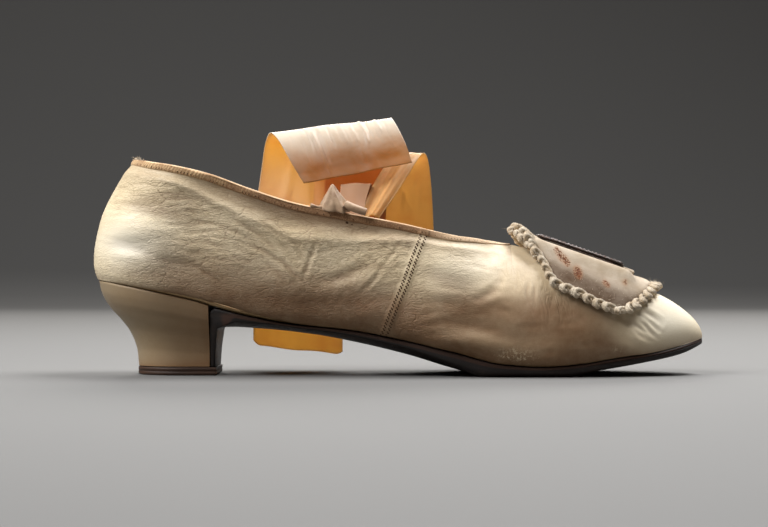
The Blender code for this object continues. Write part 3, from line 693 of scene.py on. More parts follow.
def upper_mesh():
    parts, index = [], []
    pts, faces, base = [], [], 0
    n, m = len(COLS), UP_LOW + UP_HIGH
    k, l = len(IN_COLS), 8 + 30
    throat = int(np.searchsorted(COLS, THROAT_X - 1e-6))
    for s in range(2):
        a, b = base, base + n * m
        pts += [OUTER[s].reshape(-1, 3), INNER[s].reshape(-1, 3)]
        f = [tuple(t) for t in grid_faces(n, m, a)]
        g = [tuple(t) for t in grid_faces(k, l, b)]
        rim = []
        for i in range(k - 1):
            o = [j for j in (2 * i, 2 * i + 1, 2 * i + 2) if j < n]
            rim.append(tuple([a + j * m for j in o] + [b + (i + 1) * l, b + i * l]))
            if o[-1] <= throat:
                rim.append(tuple([a + j * m + m - 1 for j in o]
                                 + [b + (i + 1) * l + l - 1, b + i * l + l - 1]))
        faces += f + g + rim
        index += [0] * len(f) + [1] * len(g) + [0] * len(rim)
        base += n * m + k * l
    return np.concatenate(pts), faces, index


def blot(X, Z, x, z, rx, rz):
    return np.exp(-((X - x) / rx) ** 2 - ((Z - z) / rz) ** 2)


KID = kid_leather("kid_leather", tint(233, 216, 181), tint(112, 76, 44))


def lining_cloth():
    s = Shader("lining")
    weave = s.math("MULTIPLY", s.wave(1.6, "X", 0.6), s.wave(1.6, "Z", 0.6))
    cloud = s.noise(0.06, 4.0, 0.6)
    col = s.mix(s.span(cloud, 0.35, 0.7), tint(205, 190, 158), tint(172, 148, 112))
    s.put(s.bsdf.inputs["Base Color"], s.mix(s.math("MULTIPLY", weave, 0.25), col, tint(150, 126, 92)))
    s.set(Roughness=0.85, Sheen_Weight=0.15)
    return s.finish(s.bump(weave, 0.12, 0.7))


LINING = lining_cloth()
_p, _f, _i = upper_mesh()
UPPER = build("upper_leather", _p, _f, [KID, LINING], index=_i, slot="kid")
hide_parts("upper")
_v = mesh_points(UPPER)
_X, _Z, _near = _v[:, 0], _v[:, 2], _v[:, 1] < 0
_field = np.where(_near, crease_field(_X, _Z, -1), crease_field(_X, _Z, 1))
# Painted shade: how deep each crease is, used to darken the creases.
set_attr(UPPER, "fold", np.clip(-_field / 0.55, 0, 1))
_over = _Z - feather_z(_X)
_low = np.exp(-np.maximum(_over, 0) / 3.0)
# Tan near the sole is partly dirt. The broad darkening of the lower half and the flank is painted shade, and so are the
# patches under the ornament, which are a painted shadow.
_dirt_and_shade = (0.30 * _low * ease((_X + 10) / 50)
         + 0.16 * blot(_X, _Z, 26, 25, 16, 9) + 0.14 * blot(_X, _Z, -20, 29, 17, 9) + 0.08 * blot(_X, _Z, -46, 33, 18, 10)
         + 0.22 * blot(_X, _Z, 0, 20, 9, 9) + 0.14 * blot(_X, _Z, 84, 12, 16, 5) + 0.20 * blot(_X, _Z, 30, 28, 16, 5)
         + 0.35 * _low + 0.68 * np.exp(-(np.maximum(_over, 0) / (20.0 + 10.0 * ease((_X - 4) / 20))) ** 3) * ease((_X + 116) / 36)
         * (1 - 0.92 * ease((_X - 76) / 20))
         + 0.16 * ease((_X + 96) / 40) * (1 - ease((_X - 2) / 20)) + 0.42 * blot(_X, _Z, 48, 45, 9, 8) + 0.44 * blot(_X, _Z, 60, 25, 20, 11))
_under = np.maximum(skin(_X, collar_q(_X))[:, 2] - _Z, 0)
# Painted shade in the trough under the collar.
_dirt_and_shade += (_X < THROAT_X) * np.exp(-(_under / 7.5) ** 2) * (0.34 + 0.46 * np.exp(-((_X + 30) / 38) ** 2))
set_attr(UPPER, "dirt_and_shade", np.clip(_dirt_and_shade, 0, 0.88))
# Painted highlight on the counter, the vamp and the toe.
set_attr(UPPER, "painted_highlight", 0.50 * blot(_X, _Z, -104, 51, 14, 9) + 0.18 * blot(_X, _Z, 26, 43, 16, 8) + 0.50 * blot(_X, _Z, 104, 21, 15, 9))
_scuff = (blot(_X, _Z, 44, 8.8, 5.5, 2.2) + 0.8 * blot(_X, _Z, 49, 7.2, 3, 1.4)
          + 0.5 * blot(_X, _Z, 84, 10.6, 2.2, 1.2) + 0.5 * blot(_X, _Z, 118, 17, 3, 3))
set_attr(UPPER, "scuff", np.clip(_scuff, 0, 1))
_calm = np.clip(0.52 * ease((_X - 2) / 12) + 0.34 * ease((_X - 20) / 25), 0, 0.92)
_calm = np.maximum(_calm, 0.75 * blot(_X, _Z, -110, 54, 18, 17))
_calm = np.maximum(_calm, 0.9 * np.exp(-((_X - SEAM("x", _Z)) / 3.0) ** 2))
_calm = np.maximum(_calm, 0.75 * np.exp(-np.maximum(skin(_X, collar_q(_X))[:, 2] - _Z, 0) / 5.0) * (_X < THROAT_X))
set_attr(UPPER, "calm", np.clip(_calm, 0, 1))
set_attr(UPPER, "upright", 0.75 * blot(_X, _Z, 58, 28, 11, 11) + 0.35 * blot(_X, _Z, 42, 38, 9, 8))


# ------------------------------------------------------------------ sole
Flap = namedtuple("Flap", "in_x in_z out_x out_z half_w")
BREAST_FLAP = [
    Flap(-71.0, 26.3, -68.2, 18.6, 23.6), Flap(-73.0, 24.0, -69.6, 17.8, 22.6),
    Flap(-73.0, 18.0, -70.1, 14.2, 20.0), Flap(-73.0, 11.0, -70.5, 9.5, 17.2),
    Flap(-73.0, 3.5, -70.8, 3.5, 15.8),
]
ACROSS = np.sin(spread(-PI / 2, PI / 2, 33))


def sole_ring(top, mid, half_w, rise, power, groove):
    """One closed cross-section of the sole, from its top line to its tread."""
    top, mid = np.asarray(top, float), np.asarray(mid, float)
    down = unit(mid - top)
    thick = np.linalg.norm(mid - top)
    edge = max(0.6, thick - rise)
    wall = [(-0.35, 0.0), (0.0, 0.30), (0.05, 0.30 + 0.12 * edge), (-groove, 0.30 + 0.20 * edge),
            (-groove, 0.30 + 0.28 * edge), (0.05, 0.30 + 0.36 * edge), (0.08, 0.62 * edge),
            (0.0, edge - 0.45), (-0.20, edge - 0.12)]
    pts = [(f * (half_w - 0.6), 0.0) for f in ACROSS]
    pts += [(half_w + o, d) for o, d in wall]
    pts += [(f * (half_w - 0.45), thick - rise * abs(f) ** power) for f in ACROSS[::-1]]
    pts += [(-half_w - o, d) for o, d in wall[::-1]]
    return [(top[0] + down[0] * d, y, top[1] + down[1] * d) for y, d in pts]


def sole_rings():
    rings = []
    flap = Table("u in_x in_z out_x out_z half_w", [(i, *r) for i, r in enumerate(BREAST_FLAP)])
    for u in np.concatenate([spread(4.0, 0.3, 30), spread(0.22, 0, 4)]):
        a = [float(flap(c, u)) for c in flap.names[1:]]
        rings.append(sole_ring(a[:2], a[2:4], a[4], 0.5, 6.0, 0.0))
    xs = np.concatenate([spread(-63, 78, 120), 78 + 41.6 * np.sin(spread(0, PI / 2, 46))[1:]])
    for x in xs:
        w = (LAST("feather_w", x) + SOLE_EDGE) * nose(TIP_X - x, TOE_ROUND, TOE_POWER)
        w = max(float(w), 1.4)
        top, mid = float(feather_z(x)) - GAP, float(SOLE_BOTTOM("z", x))
        mid = min(mid, top - 1.5)
        rise = min(float(SOLE_BOTTOM("edge_rise", x)), top - mid - 1.2)
        rings.append(sole_ring((x, top), (x, mid), w, rise, float(SOLE_BOTTOM("roundness", x)),
                               0.28 * float(ease((x - 60) / 20))))
    return rings


def sole_leather():
    s = Shader("sole_leather")
    grain = s.noise(0.9, 5.0, 0.7)
    streak = s.noise(1.0, 4.0, 0.6, 0.3, s.place((0.05, 0.3, 0.9)))
    wear_and_shade = s.noise(0.10, 4.0, 0.65)
    col = s.mix(s.span(streak, 0.35, 0.7), tint(19, 13, 11), tint(32, 22, 16))
    col = s.mix(s.span(wear_and_shade, 0.52, 0.72, 0.0, 0.5), col, tint(58, 41, 29))
    rim = s.attr("rim")
    strip = s.math("MULTIPLY", s.span(rim, 0.02, 0.10), s.span(rim, 0.24, 0.34, 1.0, 0.0))
    col = s.mix(s.math("MULTIPLY", strip, 0.35), col, tint(88, 55, 38))
    line = s.math("MULTIPLY", s.span(rim, 0.26, 0.34), s.span(rim, 0.40, 0.50, 1.0, 0.0))
    col = s.mix(line, col, tint(24, 17, 14))
    s.put(s.bsdf.inputs["Base Color"], col)
    s.put(s.bsdf.inputs["Roughness"], s.span(grain, 0.3, 0.7, 0.42, 0.66))
    s.set(Specular_IOR_Level=0.4)
    return s.finish(s.bump(grain, 0.10, 0.6, s.bump(streak, 0.12, 0.5)))


SOLE_MAT = sole_leather()
_p, _f = ring_mesh(sole_rings())
SOLE = build("outsole_leather", _p, _f, SOLE_MAT, slot="sole_leather", sharp=50)
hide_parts("outsole")
_v = mesh_points(SOLE)
_top, _mid = feather_z(_v[:, 0]) - GAP, np.minimum(SOLE_BOTTOM("z", _v[:, 0]), feather_z(_v[:, 0]) - 1.8)
_w = (LAST("feather_w", _v[:, 0]) + SOLE_EDGE) * nose(TIP_X - _v[:, 0], TOE_ROUND, TOE_POWER)
_out = ease((np.abs(_v[:, 1]) - _w + 1.2) / 0.6) * ease((_v[:, 0] + 66) / 6)
set_attr(SOLE, "rim", np.where(_out > 0.3, np.clip((_top - _v[:, 2]) / (_top - _mid), 0.02, 1.0), 0.0))


# ------------------------------------------------------------------ heel
def d_outline(back_x, front_x, half_w, height, n=44):
    """Heel outline seen from above: round at the back, straight at the breast."""
    s = BACK_X + (BREAST_X - BACK_X) * (1 - np.cos(spread(0, PI / 2, n)))
    x = back_x + (s - BACK_X) / (BREAST_X - BACK_X) * (front_x - back_x)
    y = half_w / SEAT_W * feather_w(s)
    z = height(s)
    far = np.stack([x, y, z], -1)
    front = [(front_x, y[-1] * f, z[-1]) for f in spread(0.94, -0.94, 20)]
    near = far[::-1] * (1.0, -1.0, 1.0)
    return np.concatenate([far, front, near[:-1]])


def heel_rings():
    rings = []
    rows = np.concatenate([spread(36.6, 36.2, 3), spread(35.6, 3.5, 62)])
    for k, z in enumerate(rows):
        drop = 36.6 - z
        t = drop / 33.1
        tuck = (0.45, 0.15, 0.0)[k] if k < 3 else 0.0
        back, half = float(HEEL_ROWS("back_x", drop)) + tuck, float(HEEL_ROWS("half_w", drop)) - tuck
        wrinkle = 0.10 * math.sin(z * 0.9 + 1.0) * math.exp(-((z - 27) / 7) ** 2)
        rings.append(d_outline(back, BREAST_X - GAP, half + wrinkle,
                               lambda s, t=t: (feather_z(s) - GAP) * (1 - t) + 3.5 * t))
    return rings


# Painted shade: the heel cover's base colour is darker than the upper's, standing in for the shade the heel sits in.
HEEL_MAT = kid_leather("heel_cover", tint(144, 126, 99), tint(126, 94, 62), 0.5)
_p, _f = ring_mesh(heel_rings())
HEEL = build("heel_cover", _p, _f, HEEL_MAT, slot="heel_cover", sharp=48)
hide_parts("heel")
_v = mesh_points(HEEL)
set_attr(HEEL, "calm", np.full(len(_v), 0.8))
# Painted shade with some dirt: darker from the back toward the breast and along the bottom edge.
set_attr(HEEL, "dirt_and_shade", np.clip(0.62 * ease((_v[:, 0] + 106) / 34) + 0.2 * ease((_v[:, 0] + 78) / 5) + 0.75 * np.exp(-np.maximum(_v[:, 2] - 3.5, 0) / 1.6)
                               + 0.25 * blot(_v[:, 0], _v[:, 2], -100, 30, 14, 6), 0, 1))
set_attr(HEEL, "scuff", np.clip(0.6 * blot(_v[:, 0], _v[:, 2], -101, 12, 6, 5), 0, 1))
set_attr(HEEL, "fold", np.zeros(len(_v)))
set_attr(HEEL, "upright", np.zeros(len(_v)))


def top_piece_rings():
    rows = [(0.0, 0.9), (0.0, 0.5), (0.25, 0.12), (0.6, 0.0), (1.35, 0.02), (1.55, 0.16), (1.7, 0.16), (1.9, 0.0),
            (2.6, 0.0), (2.95, 0.08), (3.2, 0.35), (3.2, 0.8)]
    return [d_outline(-102.5 + i, TOP_PIECE_FRONT - i, 17.0 - i, lambda s, z=z: np.full_like(s, z)) for z, i in rows]


def lift_leather():
    s = Shader("top_piece_leather")
    layers = s.noise(1.0, 4.0, 0.6, 0.2, s.place((0.06, 0.06, 2.2)))
    grain = s.noise(1.4, 5.0, 0.7)
    s.put(s.bsdf.inputs["Base Color"], s.mix(s.span(layers, 0.3, 0.7), tint(36, 23, 16), tint(68, 45, 30)))
    s.set(Roughness=0.55, Specular_IOR_Level=0.35)
    return s.finish(s.bump(grain, 0.10, 0.6, s.bump(layers, 0.15, 0.6)))


_p, _f = ring_mesh(top_piece_rings())
TOP_PIECE = build("heel_top_piece_leather", _p, _f, lift_leather(), slot="top_piece", sharp=50)
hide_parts("heel_top_piece")


# ------------------------------------------------------------------ insole
def insole_grids():
    a, b = BACK_X + 1.6, TIP_X - 4.0
    xs = np.concatenate([a + 30 * (1 - np.cos(spread(0, PI / 2, 24)))[:-1], spread(a + 30, b - 40, 60)[:-1],
                         b - 40 * (1 - np.sin(spread(0, PI / 2, 30)))])
    w = (LAST("feather_w", xs) + 0.5) * nose(xs - a, HEEL_ROUND, HEEL_POWER) * nose(b - xs, TOE_ROUND, TOE_POWER)
    w = np.maximum(w, 0.25)
    f = np.sin(spread(-PI / 2, PI / 2, 21))
    y = w[:, None] * f
    x = np.broadcast_to(xs[:, None], y.shape)
    z = feather_z(xs)[:, None] + 0.0 * y
    dish = -0.35 * np.exp(-((x + 92) / 18) ** 2 - (y / 14) ** 2) - 0.4 * np.exp(-((x - 52) / 20) ** 2 - (y / 17) ** 2)
    edge = -0.5 * np.abs(f)[None, :] ** 14
    return np.stack([x, y, z + INSOLE_T + dish + edge], -1), np.stack([x, y * np.maximum(1 - 2.4 / np.maximum(w, 4.0), 0.4)[:, None], z], -1)


def insole_leather():
    s = Shader("insole_leather")
    wear_and_shade = s.noise(0.05, 4.0, 0.6)
    grain = s.noise(1.6, 5.0, 0.7)
    col = s.mix(s.span(wear_and_shade, 0.35, 0.68), tint(186, 156, 114), tint(140, 104, 68))
    s.put(s.bsdf.inputs["Base Color"], col)
    s.set(Roughness=0.6, Specular_IOR_Level=0.35)
    return s.finish(s.bump(grain, 0.10, 0.6))


_p, _f = sheet_mesh(*insole_grids())
INSOLE = build("insole_sock", _p, _f, insole_leather(), slot="insole_leather")
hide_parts("insole")

# ------------------------------------------------------------------ collar binding
def off_skin(x, q, out):
    return skin(x, q) + skin_normal(x, q) * np.asarray(out, float)[..., None]


def arc_even(points, step):
    """Fractional places along a path of points, evenly spaced in length."""
    run = np.concatenate([[0], np.cumsum(np.linalg.norm(np.diff(points, axis=0), axis=1))])
    n = max(2, int(round(run[-1] / step)))
    return np.interp(spread(0, run[-1], n + 1), run, np.arange(len(points))), run[-1]


def collar_stations(step):
    xs = np.concatenate([BACK_X + 30 * (1 - np.cos(spread(0, PI / 2, 200)))[:-1], spread(-90, 30, 400)[:-1],
                         30 + 14 * np.sin(spread(0, PI / 2, 200))])
    at, run = arc_even(skin(xs, collar_q(xs)), step)
    return np.interp(at, np.arange(len(xs)), xs), run


BIND_DROPS = np.array([2.4, 2.15, 1.65, 1.1, 0.55, 0.1])


def bar_wave(s, xs):
    """Whip stitches over the tape: close at the heel, lost toward the front."""
    drift = 0.22 * np.sin(s * 0.37) + 0.16 * np.sin(s * 0.83 + 1.0)
    amount = (0.18 + 0.82 * (1 - ease((xs + 84) / 40))) * (1 - ease((xs + 10) / 20))
    amount = amount * (0.70 + 0.30 * np.sin(s * 0.61 + 0.4))
    return amount * (0.5 + 0.5 * np.cos(2 * PI * (s / 1.28 + drift)))


def binding_mesh():
    xs, run = collar_stations(0.32)
    s = spread(0, run, len(xs))
    cq = collar_q(xs)
    per_q = np.linalg.norm(skin(xs, cq) - skin(xs, cq - 0.02), axis=-1) / 0.02
    rings = []
    for side in (-1.0, 1.0):
        flip = np.array((1.0, side, 1.0))
        rib = bar_wave(s, xs)
        outer, inner = [], []
        for d in BIND_DROPS:
            q = cq - d / per_q
            base, n = skin(xs, q), skin_normal(xs, q)
            n[0] = unit(n[0] * (1, 0, 1))
            r = relief(xs, q, base * flip, side)
            lap = 0.12 if d > 2.3 else 0.36 + 0.26 * rib * (0.25 + 0.75 * math.sin(PI * min(1, d / 2.2)))
            outer.append(base + n * (r + lap)[..., None])
            inner.append(base + n * (r * 0.9 - WALL - (0.1 if d > 2.3 else 0.40))[..., None])
        base, n = skin(xs, cq), skin_normal(xs, cq)
        up = unit(skin(xs, cq) - skin(xs, cq - 0.02))
        top = [base + n * (o - 0.0) + up * h for o, h in ((0.28, 0.05), (-0.2, 0.22), (-0.7, 0.28),
                                                         (-1.2, 0.22), (-1.65, 0.05))]
        ring = np.stack(outer + top + inner[::-1], 1) * flip
        rings.append(ring)
    near, far = rings
    far_back = far[::-1]
    loop = np.concatenate([near[:-1], far_back[:-1]])
    return ring_mesh(loop, closed=True)


def binding_tape():
    s = Shader("binding_tape")
    z = s.tree.nodes.new("ShaderNodeSeparateXYZ")
    s.link(s.pos, z.inputs[0])
    cloth = s.noise(2.2, 4.0, 0.65)
    cloud = s.noise(0.12, 4.0, 0.6)
    front = s.span(z.outputs["X"], 4.0, 26.0)
    bars = s.math("ADD", s.attr("bar"), s.math("MULTIPLY", s.math("SUBTRACT", cloth, 0.5), 1.2))
    col = s.mix(s.span(bars, -0.2, 0.9), tint(160, 122, 86), tint(204, 172, 128))
    col = s.mix(s.span(cloud, 0.42, 0.72, 0.0, 0.55), col, tint(142, 102, 72))
    col = s.mix(front, col, s.mix(s.span(cloth, 0.3, 0.7), tint(190, 156, 122), tint(216, 190, 156)))
    col = s.mix(s.span(cloth, 0.5, 0.8, 0.0, 0.5), col, tint(220, 200, 160))
    # Painted shade: the tape is darker brown along the middle of the collar.
    wear_and_shade = s.math("MULTIPLY", s.span(z.outputs["X"], -84.0, -44.0), s.span(z.outputs["X"], 0.0, 22.0, 1.0, 0.0))
    col = s.mix(s.math("MULTIPLY", wear_and_shade, s.span(cloth, 0.35, 0.65, 0.80, 0.40)), col, tint(112, 76, 50))
    s.put(s.bsdf.inputs["Base Color"], col)
    s.set(Roughness=0.8, Sheen_Weight=0.12, Specular_IOR_Level=0.25)
    return s.finish(s.bump(cloth, 0.16, 0.8))


BIND_MAT = binding_tape()
_p, _f = binding_mesh()
BINDING = build("collar_binding", _p, _f, BIND_MAT, join=None, slot="kid")
_n = len(_p) // (2 * len(BIND_DROPS) + 5)
_s = np.concatenate([np.arange(_n // 2), np.arange(_n - _n // 2, 0, -1)]) * 0.32
_x = np.interp(_s, spread(0, collar_stations(0.32)[1], len(collar_stations(0.32)[0])), collar_stations(0.32)[0])
set_attr(BINDING, "bar", np.repeat(bar_wave(_s, _x), len(_p) // _n))


def edge_cord():
    """Rolled top edge of the binding."""
    xs, run = collar_stations(0.5)
    cq = collar_q(xs)
    up = unit(skin(xs, cq) - skin(xs, cq - 0.02))
    line = skin(xs, cq) - skin_normal(xs, cq) * 0.65 + up * 0.15
    line[0, 1] = line[-1, 1] = 0.0
    wob = 1 + 0.10 * np.sin(spread(0, run, len(xs)) * 2 * PI / 1.28)
    path = np.concatenate([line[:-1] * (1, -1, 1), line[::-1][:-1]])
    return tube(path, 0.60 * np.concatenate([wob[:-1], wob[::-1][:-1]]), 8, True)


def edge_tape():
    s = Shader("binding_edge")
    cloth = s.noise(1.6, 4.0, 0.65)
    cloud = s.noise(0.15, 4.0, 0.6)
    col = s.mix(s.span(cloud, 0.4, 0.7), tint(222, 192, 154), tint(186, 148, 110))
    s.put(s.bsdf.inputs["Base Color"], s.mix(s.span(cloth, 0.55, 0.8, 0.0, 0.5), col, tint(160, 122, 84)))
    s.set(Roughness=0.8, Sheen_Weight=0.15, Specular_IOR_Level=0.25)
    return s.finish(s.bump(cloth, 0.14, 0.8))


_p, _f = edge_cord()
EDGE = build("collar_edge", _p, _f, edge_tape(), join=None, slot="kid")

# ------------------------------------------------------------------ seams
TREE = BVHTree.FromPolygons([tuple(v) for v in mesh_points(UPPER)],
                            [tuple(p.vertices) for p in UPPER.data.polygons])


def on_side(x, z, side):
    """Point and outward normal of the leather, seen square from one side."""
    hit, n, _, _ = TREE.ray_cast(Vector((x, side * 80.0, z)), Vector((0, -side, 0)))
    if hit is None:
        return None
    n = np.array(n)
    return np.array(hit), n if n[1] * side > 0 else -n


def pip(centre, normal, along, a, b, height, sides=8):
    """Small closed lens on the surface: long radius a, short radius b."""
    along = unit(along - normal * (along @ normal))
    cross = np.cross(normal, along)
    ang = np.arange(sides) * 2 * PI / sides
    rim = centre + np.cos(ang)[:, None] * along * a + np.sin(ang)[:, None] * cross * b
    pts = np.concatenate([rim, [centre + normal * height, centre - normal * 0.12]])
    faces = [(i, (i + 1) % sides, sides) for i in range(sides)] + [((i + 1) % sides, i, sides + 1) for i in range(sides)]
    return pts, faces


def seam_holes():
    parts = []
    for side in (-1, 1):
        for off in (-1.42, -0.62, 0.62, 1.42):
            for k, z in enumerate(np.arange(15.0, 56.0, 1.16)):
                if side > 0 and z > 55:
                    continue
                x = float(SEAM("x", z)) + off
                got = on_side(x, z + (0.58 if off in (-0.62, 1.42) else 0.0), side)
                if got is None:
                    continue
                p, n = got
                slope = float(SEAM("x", z + 0.5) - SEAM("x", z - 0.5))
                parts.append(pip(p + n * 0.06, n, unit(np.array((slope, 0.0, 1.0))), 0.38, 0.30, 0.06))
    for x, z, r in ((-19.8, 59.2, 0.55), (-17.9, 58.4, 0.3)):
        p, n = on_side(x, z, -1)
        parts.append(pip(p + n * 0.02, n, np.array((1.0, 0.0, -0.3)), r, r * 0.75, 0.05, 10))
    return join_parts(parts)


def whip_holes():
    """Dark gaps between the whip stitches of the binding, heel half."""
    xs, run = collar_stations(1.28)
    xs = xs[(xs > -117) & (xs < 40)]
    cq = collar_q(xs)
    per_q = np.linalg.norm(skin(xs, cq) - skin(xs, cq - 0.02), axis=-1) / 0.02
    rng = np.random.default_rng(29)
    parts = []
    for side in (-1.0, 1.0):
        flip = np.array((1.0, side, 1.0))
        q = cq - 1.55 / per_q
        base, n = skin(xs, q), skin_normal(xs, q)
        up = unit(skin(xs, q + 0.02) - skin(xs, q - 0.02)) + np.array((0.25, 0, 0))
        r = relief(xs, q, base * flip, side)
        for b, m, u, d, x in zip(base, n, up, r, xs):
            k, skip = rng.uniform(0.35, 0.85), rng.uniform(0, 1)
            if skip < (0.25 if x < -55 else 0.72 if x < 5 else 0.35):
                continue
            k *= 1.0 if x < -55 else 0.6 if x < 5 else 0.35
            parts.append(pip((b + m * (d + 0.42)) * flip, m * flip, u * flip, k, 0.18, 0.10))
    return join_parts(parts)


def dark_thread():
    s = Shader("stitch_holes")
    s.put(s.bsdf.inputs["Base Color"], s.mix(s.noise(0.4, 2.0), tint(48, 34, 24), tint(86, 62, 42)))
    s.set(Roughness=0.9, Specular_IOR_Level=0.1)
    return s.finish()


_p, _f = seam_holes()
HOLE_MAT = dark_thread()
HOLES = build("seam_stitch_holes", _p, _f, HOLE_MAT, join=None, slot="kid")
_p, _f = whip_holes()
WHIP = build("binding_stitch_gaps", _p, _f, HOLE_MAT, join=None, slot="kid")

# ------------------------------------------------------------------ vamp ornament
ORNAMENT = Table("x drop", [
    (44.5, 8), (47, 14), (50, 20), (54, 26), (57, 34), (59, 45), (62, 50.5), (70, 53.5), (76, 58), (84, 61),
    (90.5, 51), (96, 30), (99.2, 5),
])
ORN_BACK, ORN_FRONT, ORN_T, ORN_CLEAR = 44.5, 99.2, 2.2, 0.5


def orn_lift(x):
    return 4.7 * (1 - ease((x - ORN_BACK) / 17.0))


def orn_point(x, f, out):
    """Place on the pad: x along the ridge, f from -1 near edge to 1 far edge."""
    x, f = np.broadcast_arrays(np.asarray(x, float), np.asarray(f, float))
    p = off_skin(x, 1 - np.abs(f) * ORNAMENT("drop", x) / 90.0, out)
    p[..., 1] = np.where(np.abs(f) < 1e-9, 0.0, p[..., 1] * np.sign(f))
    return p


BUCKLE_X, BUCKLE_L, BUCKLE_W, BUCKLE_BAR, BUCKLE_MID = 70.3, 36.5, 24.0, 4.5, 4.55


def buckle_frame():
    """Tangent frame on the ridge under the buckle's middle."""
    at = skin(np.array(BUCKLE_X), np.array(0.9999)) * (1, 0, 1)
    ahead = unit((skin(np.array(BUCKLE_X + 0.5), np.array(0.9999)) - skin(np.array(BUCKLE_X - 0.5), np.array(0.9999)))
                 * (1, 0, 1))
    up = np.array((-ahead[2], 0.0, ahead[0]))
    return at + up * BUCKLE_MID, ahead, np.array((0.0, 1.0, 0.0)), up


def pad_grids():
    xs = np.concatenate([ORN_BACK + 9 * (1 - np.cos(spread(0, PI / 2, 22)))[:-1], spread(ORN_BACK + 9, 90, 60)[:-1],
                         90 + 9.2 * np.sin(spread(0, PI / 2, 22))])
    f = np.sin(spread(-PI / 2, PI / 2, 61))
    X, F = np.meshgrid(xs, f, indexing="ij")
    end = nose(X - ORN_BACK, 3.0, 2.0) * nose(ORN_FRONT - X, 3.0, 2.0)
    rim = np.sqrt(np.clip(1 - np.abs(F) ** 10, 0, 1)) * (0.25 + 0.75 * end)
    puff = 0.35 * (1 - F ** 2) * end + 0.16 * np.sin(X * 0.31 + F * 4.0) * np.sin(F * 5.2 + X * 0.12)
    bed = ORN_CLEAR + orn_lift(X)
    plain = orn_point(X, F, bed)
    fall = np.clip(orn_point(X, 0 * F, bed)[..., 2] - plain[..., 2], 0.0, 2.6)
    flat = ease((X - 50) / 6) * (1 - ease((X - 86) / 8)) * (1 - ease((np.abs(plain[..., 1]) - 10.5) / 9.0))
    puff = puff + 0.80 * fall * flat
    top = orn_point(X, F, bed + 0.5 * ORN_T + 0.5 * ORN_T * rim + puff * rim)
    under = orn_point(X, F, bed + 0.5 * ORN_T - 0.5 * ORN_T * rim)
    at, ahead, _, up = buckle_frame()
    short = np.clip(-np.sum((top - at + up * 1.3) * up, -1), 0.0, 3.2)
    side = np.abs(top[..., 1])
    seat = ease((side - 5.5) / 2.0) * (1 - ease((side - 12.5) / 6.0)) * ease((X - 49) / 5) * (1 - ease((X - 87) / 5))
    return top + up * (short * seat)[..., None], under


def felt_pad():
    s = Shader("ornament_felt")
    rust = s.attr("rust")
    nap = s.noise(2.2, 5.0, 0.7)
    fibre = s.noise(1.0, 4.0, 0.6, 0.8, s.place((0.5, 1.6, 1.6), (0, 20, 10)))
    cloud = s.noise(0.10, 4.0, 0.6)
    col = s.mix(s.span(cloud, 0.35, 0.7), tint(184, 169, 149), tint(162, 145, 122))
    col = s.mix(s.span(fibre, 0.55, 0.8, 0.0, 0.35), col, tint(170, 148, 118))
    # Painted shade: the pad darkens toward its lower edge.
    col = s.mix(s.math("MULTIPLY", s.attr("rim"), s.span(cloud, 0.3, 0.7, 0.75, 0.95)), col, tint(68, 44, 24))
    edge = s.math("ADD", s.math("MULTIPLY", rust, 0.55), s.math("MULTIPLY", s.math("SUBTRACT", s.noise(1.4, 5.0, 0.75), 0.5), 2.2))
    spot = s.math("MULTIPLY", s.span(edge, 0.36, 0.54), s.span(rust, 0.10, 0.40))
    col = s.mix(s.math("MULTIPLY", s.span(rust, 0.05, 0.9), 0.35), col, tint(160, 104, 60))
    col = s.mix(spot, col, s.mix(s.span(s.noise(2.5, 3.0), 0.35, 0.65), tint(112, 60, 24), tint(54, 28, 14)))
    s.put(s.bsdf.inputs["Base Color"], col)
    s.set(Roughness=0.95, Specular_IOR_Level=0.12, Sheen_Weight=0.08, Sheen_Roughness=0.5)
    return s.finish(s.bump(nap, 0.28, 0.8, s.bump(fibre, 0.25, 0.6)))


FELT = felt_pad()
_p, _f = sheet_mesh(*pad_grids())
PAD = build("ornament_pad", _p, _f, FELT, slot="felt")
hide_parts("vamp_ornament")
_v = mesh_points(PAD)
_rust = np.zeros(len(_v))
for _x, _z, _r in ((61.3, 49.2, 0.9), (62.6, 46.9, 1.3), (64.4, 45.2, 1.2), (65.4, 43.6, 1.0), (69.0, 41.2, 1.4),
                   (69.5, 39.0, 1.2), (79.6, 36.3, 0.9), (80.8, 35.1, 0.8), (87.8, 36.3, 1.0)):
    _rust += np.where(_v[:, 1] < 0, blot(_v[:, 0], _v[:, 2], _x, _z, _r * 1.25, _r * 1.4), 0)
for _x, _y, _r in ((66.0, 9.0, 1.3), (58.0, 4.5, 1.0), (88.0, 7.0, 1.1), (78.0, 17.0, 1.5), (82.0, -3.0, 0.9)):
    _rust += blot(_v[:, 0], _v[:, 1], _x, _y, _r, _r)
set_attr(PAD, "rust", np.clip(_rust, 0, 1))
# Painted shade: stronger toward the pad's lower edge.
set_attr(PAD, "rim", 0.97 * ease((52.5 - 0.426 * (_v[:, 0] - 62.0) - _v[:, 2] - 3.0) / 9.5))


# ------------------------------------------------------------------ braid
def smooth_loop(p, rounds):
    for _ in range(rounds):
        p = 0.5 * p + 0.25 * (np.roll(p, 1, 0) + np.roll(p, -1, 0))
    return p


